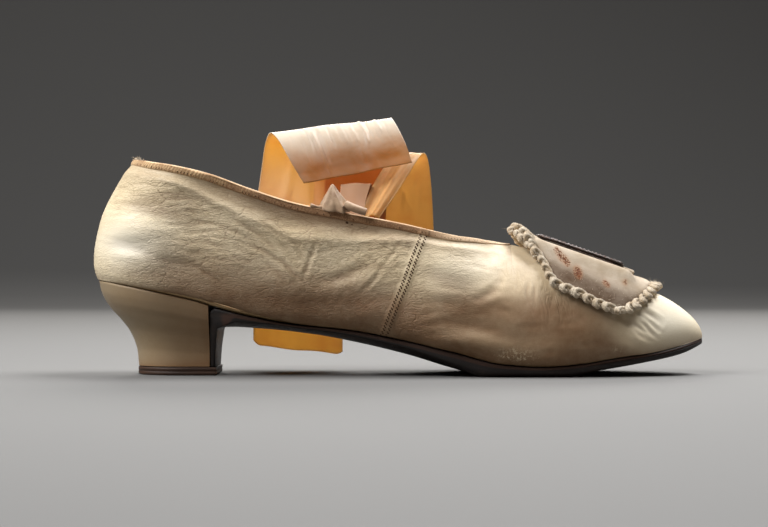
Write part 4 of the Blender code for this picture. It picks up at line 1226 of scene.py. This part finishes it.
def braid_frame(step):
    """Closed line of the braid round the pad: places, along, off the skin, outward."""
    xs = np.concatenate([ORN_BACK + 27.35 * (1 - np.cos(spread(0, PI / 2, 260)))[:-1],
                         ORN_FRONT - 27.35 * (1 - np.sin(spread(0, PI / 2, 260)))])
    rows = []
    for sign in (-1.0, 1.0):
        f = np.full_like(xs, sign)
        n = skin_normal(xs, 1 - ORNAMENT("drop", xs) / 90.0) * (1.0, sign, 1.0)
        c = orn_point(xs, f, np.maximum(ORN_CLEAR + 0.5 * ORN_T + 0.80 * orn_lift(xs), 2.3))
        away = np.stack([xs - 74.0, c[:, 1], 0 * xs], -1)
        away = unit(away - n * np.sum(away * n, -1, keepdims=True))
        c = c + away * (2.0 - 1.7 * (1 - ease((xs - ORN_BACK) / 7.0)))[:, None]
        rows.append((c, n) if sign < 0 else (c[::-1], n[::-1]))
    p = np.concatenate([rows[0][0][:-1], rows[1][0][:-1]])
    n = np.concatenate([rows[0][1][:-1], rows[1][1][:-1]])
    closed = np.concatenate([p, p[:1]])
    at, run = arc_even(closed, step)
    at = at[:-1]
    idx = np.arange(len(closed))
    p = smooth_loop(np.stack([np.interp(at, idx, closed[:, k]) for k in range(3)], -1), 10)
    nn = np.concatenate([n, n[:1]])
    n = unit(smooth_loop(np.stack([np.interp(at, idx, nn[:, k]) for k in range(3)], -1), 30))
    t = unit(np.roll(p, -1, 0) - np.roll(p, 1, 0))
    n = unit(n - t * np.sum(n * t, -1, keepdims=True))
    o = np.cross(t, n)
    flip = np.sum(o * (p - np.array((74.0, 0.0, 30.0))), -1, keepdims=True)
    return p, t, n, o * np.sign(np.median(flip)), run


def looped_cord():
    """Gimp braid: one cord thrown in close curls over a straight core."""
    p, t, n, o, run = braid_frame(0.22)
    count = int(round(run / 4.4))
    u = np.arange(len(p)) / len(p) * count
    rng = np.random.default_rng(5)
    jig = np.interp(u, np.arange(count + 1), np.append(rng.normal(0, 1, count), 0))
    jag = np.interp(u, np.arange(count + 1), np.append(rng.normal(0, 1, count), 0))
    a = 2 * PI * (u + 0.08 * jig)
    size = (1.0 + 0.17 * np.clip(jag, -1.6, 1.6)) * (0.92 + 0.30 * (1 - ease((p[:, 0] - 43.0) / 9.0)))
    ply = 1 + 0.09 * np.cos(a * 9.0)
    curls = []
    for late, wide, r in ((0.0, 1.0, 0.88), (1.1, 0.88, 0.72)):
        curl = (p + o * (1.62 * wide * size * np.cos(a + late))[:, None] - t * (1.62 * size * np.sin(a + late))[:, None]
                + n * (0.85 * size * np.sin(a + late + 0.5) + 0.45 * size + 0.16 * jig)[:, None])
        curls.append(tube(curl, r * ply * np.sqrt(size), 10, True))
    core = p - n * 0.35
    lock = (p + o * (0.85 * np.cos(a / 2 + 0.6))[:, None] + n * (0.55 * np.sin(a) - 0.1)[:, None])
    half = len(p) // 2
    pp, tt, nn, oo, aa = (np.roll(v, half, 0) for v in (p, t, n, o, a))
    near = np.nonzero(pp[:, 0] < 54.0)[0]
    near = near[(near > near[0]) & (near < near[-1])]
    pp, tt, nn, oo, aa = (v[near] for v in (pp, tt, nn, oo, aa))
    up = ease((54.0 - pp[:, 0]) / 5.0)[:, None]
    wraps = []
    for inward, lift, late in ((2.9, 1.6, 1.9), (0.9, 2.5, 4.2), (2.0, 2.2, 0.2)):
        path = (pp - oo * (inward * up) + nn * (lift * up - 0.4)
                + oo * (1.5 * np.cos(aa + late))[:, None] + tt * (-1.3 * np.sin(aa + late))[:, None]
                + nn * (0.9 * np.sin(aa + late + 0.5))[:, None])
        wraps.append(tube(path, 0.92 * (1 + 0.09 * np.cos(aa * 9.0)), 10))
    return join_parts(curls + [tube(core, 0.85, 8, True), tube(lock, 0.55, 8, True)] + wraps)


def gimp_cord():
    s = Shader("braid_cord")
    strand = s.noise(1.0, 4.0, 0.65, 0.4, s.place((2.0, 2.0, 2.0)))
    twist = s.wave(1.3, "DIAGONAL", 2.0, 2.0)
    cloud = s.noise(0.2, 3.0, 0.6)
    col = s.mix(s.span(cloud, 0.35, 0.7), tint(220, 206, 182), tint(188, 167, 136))
    col = s.mix(s.span(twist, 0.2, 0.9, 0.5, 0.0), col, tint(138, 110, 78))
    s.put(s.bsdf.inputs["Base Color"], col)
    s.set(Roughness=0.9, Specular_IOR_Level=0.15, Sheen_Weight=0.3, Sheen_Roughness=0.5)
    return s.finish(s.bump(twist, 0.16, 0.8, s.bump(strand, 0.2, 0.7)))


CORD_MAT = gimp_cord()
_p, _f = looped_cord()
BRAID = build("ornament_braid_cord", _p, _f, CORD_MAT, join=None, slot="braid")
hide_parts("ornament_braid")


def hair(start, way, length, curl, rng, r=0.06):
    """A short stray fibre as a thin three-sided tube."""
    k = spread(0, 1, 5)[:, None]
    side = unit(np.cross(way, rng.normal(0, 1, 3)))
    path = start + way * length * k + side * curl * length * k * k
    return tube(path, r * (1 - 0.6 * k[:, 0]), 3)


def fuzz():
    rng = np.random.default_rng(19)
    p, t, n, o, run = braid_frame(0.5)
    parts = []
    for i in rng.integers(0, len(p), 640):
        way = unit(n[i] * rng.uniform(0.2, 1.0) + o[i] * rng.normal(0, 0.8) + t[i] * rng.normal(0, 0.8))
        parts.append(hair(p[i] + n[i] * 0.9 + o[i] * rng.normal(0, 0.7), way, rng.uniform(0.8, 2.2),
                          rng.normal(0, 0.6), rng, 0.045))
    ends = np.argsort(np.minimum(np.abs(p[:, 0] - p[:, 0].min()), np.abs(p[:, 0] - p[:, 0].max())))[:60]
    for i in rng.choice(ends, 90):
        way = unit(n[i] + o[i] * rng.normal(0, 0.8) + t[i] * rng.normal(0, 0.9))
        parts.append(hair(p[i] + n[i] * 0.8, way, rng.uniform(0.9, 2.2), rng.normal(0, 0.9), rng, 0.05))
    X, F = rng.uniform(48, 97, 700), rng.uniform(-0.95, 0.95, 700)
    base = orn_point(X, F, ORN_CLEAR + orn_lift(X) + ORN_T - 0.1)
    norm = skin_normal(X, 1 - np.abs(F) * ORNAMENT("drop", X) / 90.0) * np.stack([1 + 0 * F, np.sign(F), 1 + 0 * F], -1)
    for b, m in zip(base, norm):
        way = unit(m * rng.uniform(0.2, 0.7) + rng.normal(0, 0.6, 3))
        parts.append(hair(b, way, rng.uniform(0.5, 1.2), rng.normal(0, 0.6), rng, 0.04))
    return join_parts(parts)


def frayed_end():
    """Broken threads of the binding where its ends meet at the back."""
    rng = np.random.default_rng(23)
    X = BACK_X + 0.4 + 6.0 * rng.uniform(0, 1, 90) ** 1.8
    base = skin(X, collar_q(X)) * np.stack([1 + 0 * X, np.where(rng.uniform(0, 1, 90) < 0.7, -1.0, 1.0), 1 + 0 * X], -1)
    parts = []
    for b in base:
        way = unit(np.array((-0.35, 0.0, 1.0)) + rng.normal(0, 0.55, 3))
        parts.append(hair(b + np.array((0.0, 0.0, 0.3)), way, rng.uniform(0.35, 1.05), rng.normal(0, 0.9), rng, 0.13))
    return join_parts(parts)


_p, _f = fuzz()
FUZZ = build("ornament_fuzz", _p, _f, CORD_MAT, join=None, slot="felt")
_p, _f = frayed_end()
FRAY = build("collar_fray", _p, _f, CORD_MAT, join=None, slot="felt")


# ------------------------------------------------------------------ buckle
def oval(a, b, ang, power=0.62):
    c, s = np.cos(ang), np.sin(ang)
    return a * np.sign(c) * np.abs(c) ** power, b * np.sign(s) * np.abs(s) ** power


def buckle_parts():
    o, ax, ay, up = buckle_frame()

    def at(u, v, h):
        return o + np.asarray(u)[..., None] * ax + np.asarray(v)[..., None] * ay + np.asarray(h)[..., None] * up

    def ring_path(inset, h, n=220):
        ang = spread(0, 2 * PI, n + 1)[:-1]
        u, v = oval(BUCKLE_L / 2 - inset, BUCKLE_W / 2 - inset, ang)
        return at(u, v, np.full(n, h))

    plate = []
    for inset, h in ((0.35, -0.75), (0.15, -0.5), (0.5, -0.25), (BUCKLE_BAR - 0.5, -0.25),
                     (BUCKLE_BAR - 0.15, -0.5), (BUCKLE_BAR - 0.35, -0.75)):
        plate.append(ring_path(inset, h))
    n, m = plate[0].shape[0], len(plate)
    back = (np.stack(plate, 1).reshape(-1, 3),
            [tuple(f) for f in grid_faces(n, m, wrap=True)]
            + [((n - 1) * m + j, j, (j + 1) % m, (n - 1) * m + (j + 1) % m) for j in range(m)])
    parts = [back]
    for inset, r, h in ((0.42, 0.40, 0.10), (BUCKLE_BAR - 0.42, 0.40, 0.10)):
        parts.append(tube(ring_path(inset, h), r, 8, True, up=up))
    studs = []
    for inset, r, count, turn in ((1.35, 0.88, 58, 0.0), (3.05, 0.80, 48, 0.5)):
        path = ring_path(inset, -0.15, 1200)
        places, run = arc_even(np.concatenate([path, path[:1]]), 0.1)
        step = np.interp((np.arange(count) + turn) / count * (len(places) - 1), np.arange(len(places)), places)
        for q in step:
            i = int(q) % 1200
            studs.append(cut_stud(path[i], ax, ay, up, r))
    return join_parts(parts), join_parts(studs)


def cut_stud(c, ax, ay, up, r):
    """Faceted steel bead: table, crown and girdle."""
    rows = ((0.0, 1.0), (0.40, 1.0), (0.95, 0.72), (1.20, 0.42))
    ang = np.arange(8) * PI / 4 + PI / 8
    rings = [[c + ax * (r * k * math.cos(a)) + ay * (r * k * math.sin(a)) + up * h * r for a in ang] for h, k in rows]
    return ring_mesh(rings)


def dark_steel(name, light):
    s = Shader(name)
    rust = s.noise(0.5, 5.0, 0.7)
    fine = s.noise(3.0, 4.0, 0.65)
    col = s.mix(s.span(rust, 0.45, 0.68), light, tint(74, 50, 38))
    s.put(s.bsdf.inputs["Base Color"], col)
    s.put(s.bsdf.inputs["Metallic"], s.span(rust, 0.5, 0.72, 0.95, 0.35))
    s.put(s.bsdf.inputs["Roughness"], s.span(rust, 0.4, 0.7, 0.30, 0.65))
    return s.finish(s.bump(fine, 0.05, 0.5))


_a, _b = buckle_parts()
STEEL = dark_steel("tarnished_steel", tint(70, 64, 62))
BUCKLE = build("buckle_frame", *_a, STEEL, slot="steel", sharp=45)
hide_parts("buckle")
STUDS = build("buckle_studs", *_b, dark_steel("cut_steel", tint(82, 76, 74)), smooth=False, join=None, slot="steel")


def band_grids(x0, x1, half, low, high, nx, ny, wave):
    xs, f = spread(x0, x1, nx), spread(-1, 1, ny)
    X, F = np.meshgrid(xs, f, indexing="ij")
    at = skin(X, np.full_like(X, 0.9999)) * (1, 0, 1)
    n = skin_normal(X, np.full_like(X, 0.999)) * (1, 0, 1)
    n = unit(n)
    edge = np.clip(1 - np.abs(F) ** 12, 0.0, 1.0) * np.clip(1 - np.abs(2 * (X - x0) / (x1 - x0) - 1) ** 16, 0.0, 1.0)
    sag = -0.010 * (F * half) ** 2
    mid = (low + high) / 2 + sag + wave * np.sin(X * 1.3 + F * 2.0) * 0.5
    t = (high - low) / 2 * (0.35 + 0.65 * np.sqrt(edge))
    y = np.stack([0 * X, F * half, 0 * X], -1)
    return at + y + n * (mid + t)[..., None], at + y + n * (mid - t)[..., None]


def pink_silk():
    s = Shader("pink_ribbon")
    rib = s.wave(2.6, "X", 0.4)
    cloud = s.noise(0.3, 3.0, 0.6)
    s.put(s.bsdf.inputs["Base Color"], s.mix(s.span(cloud, 0.35, 0.7), tint(168, 120, 108), tint(134, 90, 78)))
    s.set(Roughness=0.5, Sheen_Weight=0.2)
    return s.finish(s.bump(rib, 0.08, 0.6))


_p, _f = sheet_mesh(*band_grids(62.0, 84.0, 7.0, 3.0, 3.6, 60, 24, 0.10))
BAND = build("buckle_ribbon_band", _p, _f, pink_silk(), slot="pink_ribbon")
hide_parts("buckle_ribbon")
_p, _f = sheet_mesh(*band_grids(84.4, 91.5, 5.2, 3.2, 4.9, 30, 20, 0.0))
TAB = build("buckle_tab_felt", _p, _f, FELT, slot="braid")
for _k in ("rust", "rim"):
    set_attr(TAB, _k, np.zeros(len(TAB.data.vertices)))
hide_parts("buckle_tab")

# ------------------------------------------------------------------ ribbon tie
Row = namedtuple("Row", "left_x right_x y left_z right_z")
TIE_ARCH = [
    Row(-57.5, -5.0, 19.5, 63, 57), Row(-56.5, -4.6, 19.2, 72, 70), Row(-55.0, -4.2, 17.8, 82, 84),
    Row(-53.4, -3.6, 14.0, 91, 95.5), Row(-51.2, -3.0, 8.5, 95.6, 101.2), Row(-48.2, -1.4, 3.0, 93.6, 99.6),
    Row(-44.8, 1.0, -1.6, 88.0, 95.0), Row(-41.2, 3.4, -5.0, 81.6, 89.4), Row(-37.0, 5.4, -7.4, 74.8, 83.0),
]
TIE_LOOP = [
    Row(-8.0, 14.6, 21.4, 56, 52), Row(-7.8, 14.2, 21.2, 66, 64), Row(-7.0, 13.4, 20.4, 76.5, 76),
    Row(-3.0, 12.2, 17.6, 84.4, 85), Row(-1.8, 10.2, 10.6, 87.4, 87.8), Row(-4.6, 7.4, 3.0, 83.0, 85),
    Row(-9.0, 3.6, -3.4, 75.6, 79), Row(-12.4, -1.8, -10.0, 68.2, 70.4), Row(-15.4, -7.6, -16.6, 61.6, 61.6),
]
TIE_INNER = [
    Row(-23.5, -15.0, -21.6, 57.5, 56.5), Row(-23.2, -14.2, -17.6, 62.5, 61.6), Row(-22.9, -12.9, -13.0, 68.0, 67.4),
    Row(-22.6, -11.3, -9.2, 73.0, 73.2), Row(-22.5, -10.6, -7.6, 74.6, 74.9), Row(-22.3, -10.4, -6.0, 73.2, 73.6),
    Row(-22.0, -10.8, -4.4, 67.5, 68.0), Row(-21.6, -11.4, -3.6, 61.0, 61.4), Row(-21.4, -12.0, -3.4, 56.0, 56.2),
]


def curve_through(points, n):
    """Smooth curve through points, evenly spread in length."""
    p = np.asarray(points, float)
    p = np.concatenate([[2 * p[0] - p[1]], p, [2 * p[-1] - p[-2]]])
    out = []
    for i in range(1, len(p) - 2):
        t = spread(0, 1, 24)[:-1, None]
        a, b, c, d = p[i - 1:i + 3]
        out.append(0.5 * (2 * b + (c - a) * t + (2 * a - 5 * b + 4 * c - d) * t**2 + (3 * b - a - 3 * c + d) * t**3))
    out = np.concatenate(out + [p[-2:-1]])
    at = np.interp(spread(0, 1, n), spread(0, 1, len(out)), np.arange(len(out)))
    return np.stack([np.interp(at, np.arange(len(out)), out[:, k]) for k in range(3)], -1)


def grid_normals(g):
    return unit(np.cross(np.gradient(g, axis=0), np.gradient(g, axis=1)))


def ribbon_grid(rows, n, m):
    left = curve_through([(r.left_x, r.y, r.left_z) for r in rows], n)
    right = curve_through([(r.right_x, r.y, r.right_z) for r in rows], n)
    v = spread(0, 1, m)[None, :, None]
    return left[:, None] * (1 - v) + right[:, None] * v


def streak(U, V, u0, u1, v0, v1, width, amount):
    """Soft crease across a ribbon, from (u0, v0) to (u1, v1)."""
    k = np.clip((U - u0) / (u1 - u0), 0, 1)
    inside = ease((U - u0) / 0.06) * ease((u1 - U) / 0.06)
    return amount * inside * np.exp(-((V - (v0 + (v1 - v0) * k)) / width) ** 2)


def uv(g):
    n, m = g.shape[:2]
    return np.meshgrid(spread(0, 1, n), spread(0, 1, m), indexing="ij")


def silk_piece(name, grid, mat, thick, node=None, thin=0.45, painted_shade_and_glow=0.0):
    """A ribbon with both faces, and its own along and across measures."""
    nrm = grid_normals(grid)
    p, f = sheet_mesh(grid + nrm * thick / 2, grid - nrm * thick / 2)
    ob = build(name, p, f, mat, join=None, slot="silk")
    along = np.cumsum(np.concatenate([np.zeros((1, grid.shape[1])), np.linalg.norm(np.diff(grid, axis=0), axis=-1)]), 0)
    across = np.cumsum(np.concatenate([np.zeros((grid.shape[0], 1)), np.linalg.norm(np.diff(grid, axis=1), axis=-1)], 1), 1)
    set_attr(ob, "along", np.tile(along.ravel(), 2))
    set_attr(ob, "across", np.tile(across.ravel(), 2))
    set_attr(ob, "selvedge", np.tile(np.exp(-np.minimum(across, across[:, -1:] - across) / 0.7).ravel(), 2))
    for key, value in (("thin", thin), ("painted_shade_and_glow", painted_shade_and_glow)):
        set_attr(ob, key, np.tile(np.broadcast_to(value, grid.shape[:2]).ravel(), 2))
    if node:
        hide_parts(node)
    return ob, (float(across[:, -1].mean()) * MM, float(along[-1].mean()) * MM)


def silk(name, face, glow):
    """Ribbed silk ribbon: soft satin face that lets warm light through."""
    s = Shader(name)
    mapped = s.tree.nodes.new("ShaderNodeCombineXYZ")
    s.link(s.attr("across"), mapped.inputs[0])
    s.link(s.attr("along"), mapped.inputs[1])
    place = mapped.outputs[0]
    weft = s.noise(1.0, 3.0, 0.6, 0.0, s.place((0.25, 3.2, 1.0), vec=place))
    warp = s.noise(1.0, 3.0, 0.6, 0.0, s.place((3.0, 0.12, 1.0), vec=place))
    moire = s.noise(1.0, 4.0, 0.6, 0.6, s.place((0.10, 0.05, 1.0), vec=place))
    stain = s.noise(0.09, 4.0, 0.6, 0.4, place)
    edge = s.attr("selvedge")
    col = s.mix(s.span(stain, 0.45, 0.75, 0.0, 0.35), face, tuple(c * f for c, f in zip(face, (0.90, 0.78, 0.62))))
    col = s.mix(s.span(weft, 0.4, 0.8, 0.0, 0.22), col, tuple(c * 0.80 for c in face))
    col = s.mix(s.math("MULTIPLY", edge, 0.35), col, tuple(min(1.0, c * 1.15) for c in face))
    # Painted shade and glow: the flap's lower part and the shaded band turn brown-orange, and the loop's near band a
    # little browner.
    col = s.mix(s.math("MULTIPLY", s.attr("painted_shade_and_glow"), s.span(stain, 0.3, 0.7, 0.84, 1.0)), col, tint(140, 88, 32))
    s.put(s.bsdf.inputs["Base Color"], col)
    s.put(s.bsdf.inputs["Roughness"], s.span(moire, 0.3, 0.7, 0.34, 0.46))
    s.set(Specular_IOR_Level=0.20, Sheen_Weight=0.02)
    n = s.bump(warp, 0.06, 0.6, s.bump(weft, 0.05, 0.6))
    s.link(n, s.bsdf.inputs["Normal"])
    back = s.tree.nodes.new("ShaderNodeBsdfTranslucent")
    shade = s.mix(s.span(stain, 0.4, 0.75, 0.0, 0.5), glow, tuple(c * f for c, f in zip(glow, (0.85, 0.66, 0.5))))
    # Painted shade: redder light through the shaded band.
    shade = s.mix(s.math("MULTIPLY", s.attr("painted_shade_band"), 0.75), shade, tint(222, 136, 80))
    s.link(s.mix(s.math("MULTIPLY", edge, 0.6), shade, tuple(c * 0.55 for c in glow)), back.inputs["Color"])
    blend = s.tree.nodes.new("ShaderNodeMixShader")
    s.link(s.attr("thin"), blend.inputs[0])
    s.link(s.bsdf.outputs[0], blend.inputs[1])
    s.link(back.outputs[0], blend.inputs[2])
    s.link(blend.outputs[0], s.out.inputs["Surface"])
    return s.mat


SILK = silk("peach_silk", tint(214, 206, 188), tint(252, 208, 118))
# Painted glow: a more golden copy of the silk for the loop. Painted shade: a darker copy for the inner fold.
SILK_LOOP_PAINTED_GLOW = silk("loop_silk_painted_glow", tint(222, 188, 136), tint(255, 218, 148))
SILK_INNER_PAINTED_SHADE = silk("inner_silk_painted_shade", tint(168, 128, 98), tint(214, 156, 108))

_g = ribbon_grid(TIE_ARCH, 130, 104)
_U, _V = uv(_g)
_w = (streak(_U, _V, 0.58, 0.99, 0.30, 0.27, 0.011, 0.34) + streak(_U, _V, 0.60, 0.92, 0.335, 0.30, 0.010, -0.26)
      + streak(_U, _V, 0.56, 0.90, 0.37, 0.335, 0.012, 0.26) + streak(_U, _V, 0.62, 0.84, 0.41, 0.39, 0.010, 0.16)
      + streak(_U, _V, 0.52, 0.80, 0.55, 0.53, 0.013, 0.18) + streak(_U, _V, 0.48, 0.82, 0.73, 0.71, 0.012, 0.34)
      + streak(_U, _V, 0.50, 0.78, 0.77, 0.745, 0.010, -0.26) + streak(_U, _V, 0.47, 0.74, 0.86, 0.85, 0.013, 0.26)
      + streak(_U, _V, 0.56, 0.80, 0.64, 0.62, 0.012, 0.18) + streak(_U, _V, 0.05, 0.40, 0.45, 0.40, 0.030, 0.35)
      + streak(_U, _V, 0.02, 0.36, 0.20, 0.26, 0.040, -0.30))
_w += 0.30 * np.sin(_V * 9.0 + 0.6) * np.sin(_U * 7.0) + 0.18 * np.sin(_V * 17.0 + _U * 9.0) * ease((_U - 0.5) / 0.2)
_g = _g + grid_normals(_g) * (1.45 * _w)[..., None]
_curl = ease((_U - 0.93) / 0.07) * 0.5
_g[..., 1] -= _curl
# Painted shade band: the part of the far wall seen under the flap and behind the other layers.
_painted_shade_band = (0.35 * ease((_V - 0.43) / 0.01) + 0.65 * ease((_V - 0.51) / 0.01)) * (1 - ease((_U - 0.30) / 0.08))
_rng = np.random.default_rng(41)
for _ in range(34):
    _a, _b = _rng.uniform(0.48, 0.70), _rng.uniform(0.05, 0.95)
    _w = streak(_U, _V, _a, _a + _rng.uniform(0.12, 0.30), _b, _b - _rng.uniform(0.0, 0.05), 0.009, _rng.normal(0, 0.19))
    _g = _g + grid_normals(_g) * _w[..., None]
# Painted shade and glow down the lower flap and in the shaded band.
ARCH, ARCH_FLAT = silk_piece("tie_arch_ribbon", _g, SILK, 0.30, "tie_arch", (0.57 - 0.33 * ease((_U - 0.36) / 0.2) + 0.18 * ease((_U - 0.72) / 0.25)) * (1 - _painted_shade_band * 0.12),
                             np.maximum(0.97 * ease((_U - 0.56) / 0.36), 0.75 * _painted_shade_band))
set_attr(ARCH, "painted_shade_band", np.tile(_painted_shade_band.ravel(), 2))

_g = ribbon_grid(TIE_LOOP, 130, 60)
_U, _V = uv(_g)
_gather = ease((_U - 0.42) / 0.4)
_w = (_gather * (0.95 * np.cos(2 * PI * (1.35 * _V + 0.12)) + 0.20 * np.cos(2 * PI * (4.0 * _V + 0.3 + 0.4 * _U)))
      + (1 - _gather) * 0.22 * np.sin(_V * 8.0 + 1.0) * np.sin(_U * 9.0))
_g = _g + grid_normals(_g) * _w[..., None]
for _ in range(22):
    _a, _b = _rng.uniform(0.04, 0.30), _rng.uniform(0.08, 0.92)
    _w = streak(_U, _V, _a, _a + _rng.uniform(0.10, 0.22), _b, _b + _rng.uniform(-0.25, 0.25), 0.045, _rng.normal(0, 0.16))
    _g = _g + grid_normals(_g) * _w[..., None]
LOOP, LOOP_FLAT = silk_piece("tie_loop_ribbon", _g, SILK_LOOP_PAINTED_GLOW, 0.30, "tie_loop", 0.42 + 0.15 * ease((_U - 0.5) / 0.3), 0.15 * ease((_U - 0.5) / 0.3))

_g = ribbon_grid(TIE_INNER, 80, 60)
_U, _V = uv(_g)
_w = 0.22 * np.sin(_V * 7.0 + _U * 3.0)
_g = _g + grid_normals(_g) * _w[..., None]
INNER_FOLD, INNER_FLAT = silk_piece("tie_inner_fold", _g, SILK_INNER_PAINTED_SHADE, 0.30, None, 0.20)


def tail_grid():
    """End of the ribbon: out of the far side of the opening and down to near the floor."""
    xs = spread(-59.0, -22.5, 72)
    cq = collar_q(xs)
    share = np.array((0.92, 0.8, 0.6, 0.4, 0.2, 0.0))
    X, Q = np.broadcast_arrays(xs[:, None], cq[:, None] * share)
    face = skin(X, Q)
    face = face + skin_normal(X, Q) * (np.maximum(relief(X, Q, face, 1.0), 0.0) + 1.2)[..., None]
    cols = []
    for x, q, down in zip(xs, cq, face):
        rim = off_skin(x, q, -WALL / 2)
        t = (x + 59.0) / 36.5
        pts = [off_skin(x, q - 0.10, -WALL - 1.3), off_skin(x, q - 0.02, -WALL - 1.2),
               rim + np.array((0, -1.1, 1.1)), rim + np.array((0, 0.0, 1.7)), rim + np.array((0, 1.3, 1.1))]
        pts += list(down)
        y, low = down[:, 1].max(), down[-1, 2]
        foot = (10.0 - 3.6 * t + 2.2 * max(0.0, 1 - t / 0.07) ** 2 + 1.4 * max(0.0, 1 - (1 - t) / 0.06) ** 2
                + 0.25 * math.sin(11.0 * t))
        for k in (0.25, 0.5, 0.75, 1.0):
            pts.append(np.array((x, y + 0.3 + 0.54 * k * math.sin(5.0 * t + 1.0), low + (foot - low) * k)))
        cols.append(curve_through(pts, 150))
    return np.stack(cols, 1)


_g = tail_grid()
for _ in range(6):
    _g[:, 1:-1] = 0.5 * _g[:, 1:-1] + 0.25 * (_g[:, 2:] + _g[:, :-2])
_U, _V = uv(_g)
for _ in range(14):
    _a, _b = _rng.uniform(0.40, 0.80), _rng.uniform(0.08, 0.92)
    _w = streak(_U, _V, _a, _a + _rng.uniform(0.12, 0.30), _b, _b + _rng.uniform(-0.08, 0.08), 0.022, _rng.normal(0, 0.11))
    _g = _g + grid_normals(_g) * _w[..., None]
TAIL, TAIL_FLAT = silk_piece("tie_tail_ribbon", _g, SILK, 0.30, "tie_tail", 0.56)

# ------------------------------------------------------------------ knot
KNOT_X, KNOT_Y = -25.0, -24.4
KNOT = Table("h z half_x half_y shift", [
    (0.0, 74.0, 0.35, 0.35, -0.4), (0.1, 73.3, 1.0, 0.9, -0.4), (0.3, 71.2, 2.4, 2.0, -0.2),
    (0.55, 68.4, 4.3, 3.0, 0.3), (0.8, 65.8, 5.7, 3.6, 0.6), (0.92, 64.4, 6.1, 3.6, 0.8), (1.0, 63.6, 5.9, 3.4, 1.0),
])


PLEATS = [(294, 0.30, 12), (238, 0.20, 24), (186, 0.16, 18), (346, 0.12, 12), (30, 0.14, 20), (92, 0.16, 22), (142, 0.12, 16)]


def knot_parts():
    """Ribbon drawn up into a small pleated cone, over the collar."""
    n, m = 40, 120
    h, ang = np.meshgrid(spread(0, 1, n), np.arange(m) * 2 * PI / m, indexing="ij")
    fold = 0 * ang
    for deg, tall, wide in PLEATS:
        away = np.degrees(np.angle(np.exp(1j * (ang + 0.25 * (1 - h) - math.radians(deg)))))
        fold = np.maximum(fold, tall * np.exp(-(np.abs(away) / wide) ** 1.4))
    r = 0.86 + fold * ease(h / 0.5) + 0.03 * np.sin(9 * ang + 6 * h)
    x = KNOT_X + KNOT("shift", h) + KNOT("half_x", h) * r * np.cos(ang)
    y = KNOT_Y + KNOT("half_y", h) * r * np.sin(ang)
    z = KNOT("z", h) + h ** 3 * (0.45 * np.sin(2 * ang + 0.4) - 2.2 * fold)
    shell = ring_mesh(np.stack([x, y, z], -1))
    path = curve_through([(-20.4, -26.4, 66.4), (-18.8, -26.9, 65.5), (-17.0, -27.1, 64.7), (-15.0, -27.2, 64.0),
                          (-12.4, -27.2, 63.2)], 40)
    roll = tube(path, 1.45 + 0.12 * np.sin(spread(0, PI, 40)), 18)
    path = curve_through([(-28.4, -24.8, 64.9), (-30.4, -25.2, 65.2), (-32.4, -25.4, 65.6), (-33.9, -25.4, 65.9)], 24)
    stub = tube(path, 0.62 + 0.16 * np.sin(spread(0, 9, 24)), 10)
    return shell, roll, stub


def knot_silk():
    s = Shader("knot_silk")
    thread = s.noise(1.0, 4.0, 0.6, 0.5, s.place((2.4, 2.4, 0.5)))
    cloud = s.noise(0.25, 4.0, 0.6)
    s.put(s.bsdf.inputs["Base Color"], s.mix(s.span(cloud, 0.35, 0.7), tint(178, 149, 120), tint(142, 111, 83)))
    s.set(Roughness=0.55, Sheen_Weight=0.2, Specular_IOR_Level=0.3)
    return s.finish(s.bump(thread, 0.18, 0.7))


_shell, _roll, _stub = knot_parts()
KNOT_MAT = knot_silk()
KNOT_OB = build("tie_knot_fold", *_shell, KNOT_MAT, join=None, slot="silk")
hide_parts("tie_knot")
ROLL_OB = build("tie_knot_roll", *join_parts([_roll, _stub]), KNOT_MAT, join=None, slot="silk")
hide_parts("tie_roll")



# ------------------------------------------------------------------ floor and light
def floor_mesh():
    """Level floor that curves up into a plain backdrop behind the shoe."""
    prof = [(-2.2, 0.0), (-0.9, 0.0), (0.0, 0.0), (1.3, 0.0)]
    prof += [(1.3 + 0.7 * math.sin(a), 0.7 - 0.7 * math.cos(a)) for a in spread(0.08, PI / 2, 16)]
    prof += [(2.0, 1.4), (2.0, 2.6)]
    me = bpy.data.meshes.new("floor")
    verts = [(x, y, z) for y, z in prof for x in (-3.0, -1.0, 1.0, 3.0)]
    me.from_pydata(verts, [], [tuple(f) for f in grid_faces(len(prof), 4)])
    me.shade_smooth()
    s = Shader("floor")
    s.set(Base_Color=tint(104, 103, 101), Roughness=0.8, Specular_IOR_Level=0.2)
    me.materials.append(s.finish())
    ob = bpy.data.objects.new("floor", me)
    SCENE.collection.objects.link(ob)
    return ob


floor_mesh()


def soft_light(name, at, aim, size, power, color):
    d = bpy.data.lights.new(name, "AREA")
    d.shape = "RECTANGLE"
    d.size, d.size_y = size
    d.energy = power
    d.color = color
    ob = bpy.data.objects.new(name, d)
    ob.location = at
    ob.rotation_euler = (Vector(aim) - Vector(at)).to_track_quat("-Z", "Y").to_euler()
    SCENE.collection.objects.link(ob)
    return ob


soft_light("top_box", (0.42, 0.24, 0.98), (0.03, 0.0, 0.04), (0.7, 0.45), 20.0, (0.98, 0.985, 1.0))
soft_light("back_box", (0.10, 1.10, 0.70), (0.0, 0.0, 0.07), (1.1, 0.5), 13.5, (1.0, 0.98, 0.95))
soft_light("left_box", (-0.74, -0.32, 0.86), (-0.02, 0.0, 0.05), (0.8, 0.6), 22.0, (0.97, 0.98, 1.0))
soft_light("front_fill", (0.2, -1.6, 1.00), (0.0, 0.0, 0.05), (1.2, 0.8), 0.7, (1.0, 0.74, 0.50))
WORLD = bpy.data.worlds.new("studio")
WORLD.use_nodes = True
WORLD.node_tree.nodes["Background"].inputs["Color"].default_value = (1.0, 0.84, 0.68, 1.0)
WORLD.node_tree.nodes["Background"].inputs["Strength"].default_value = 0.04
SCENE.world = WORLD
SCENE.view_settings.view_transform = "Standard"
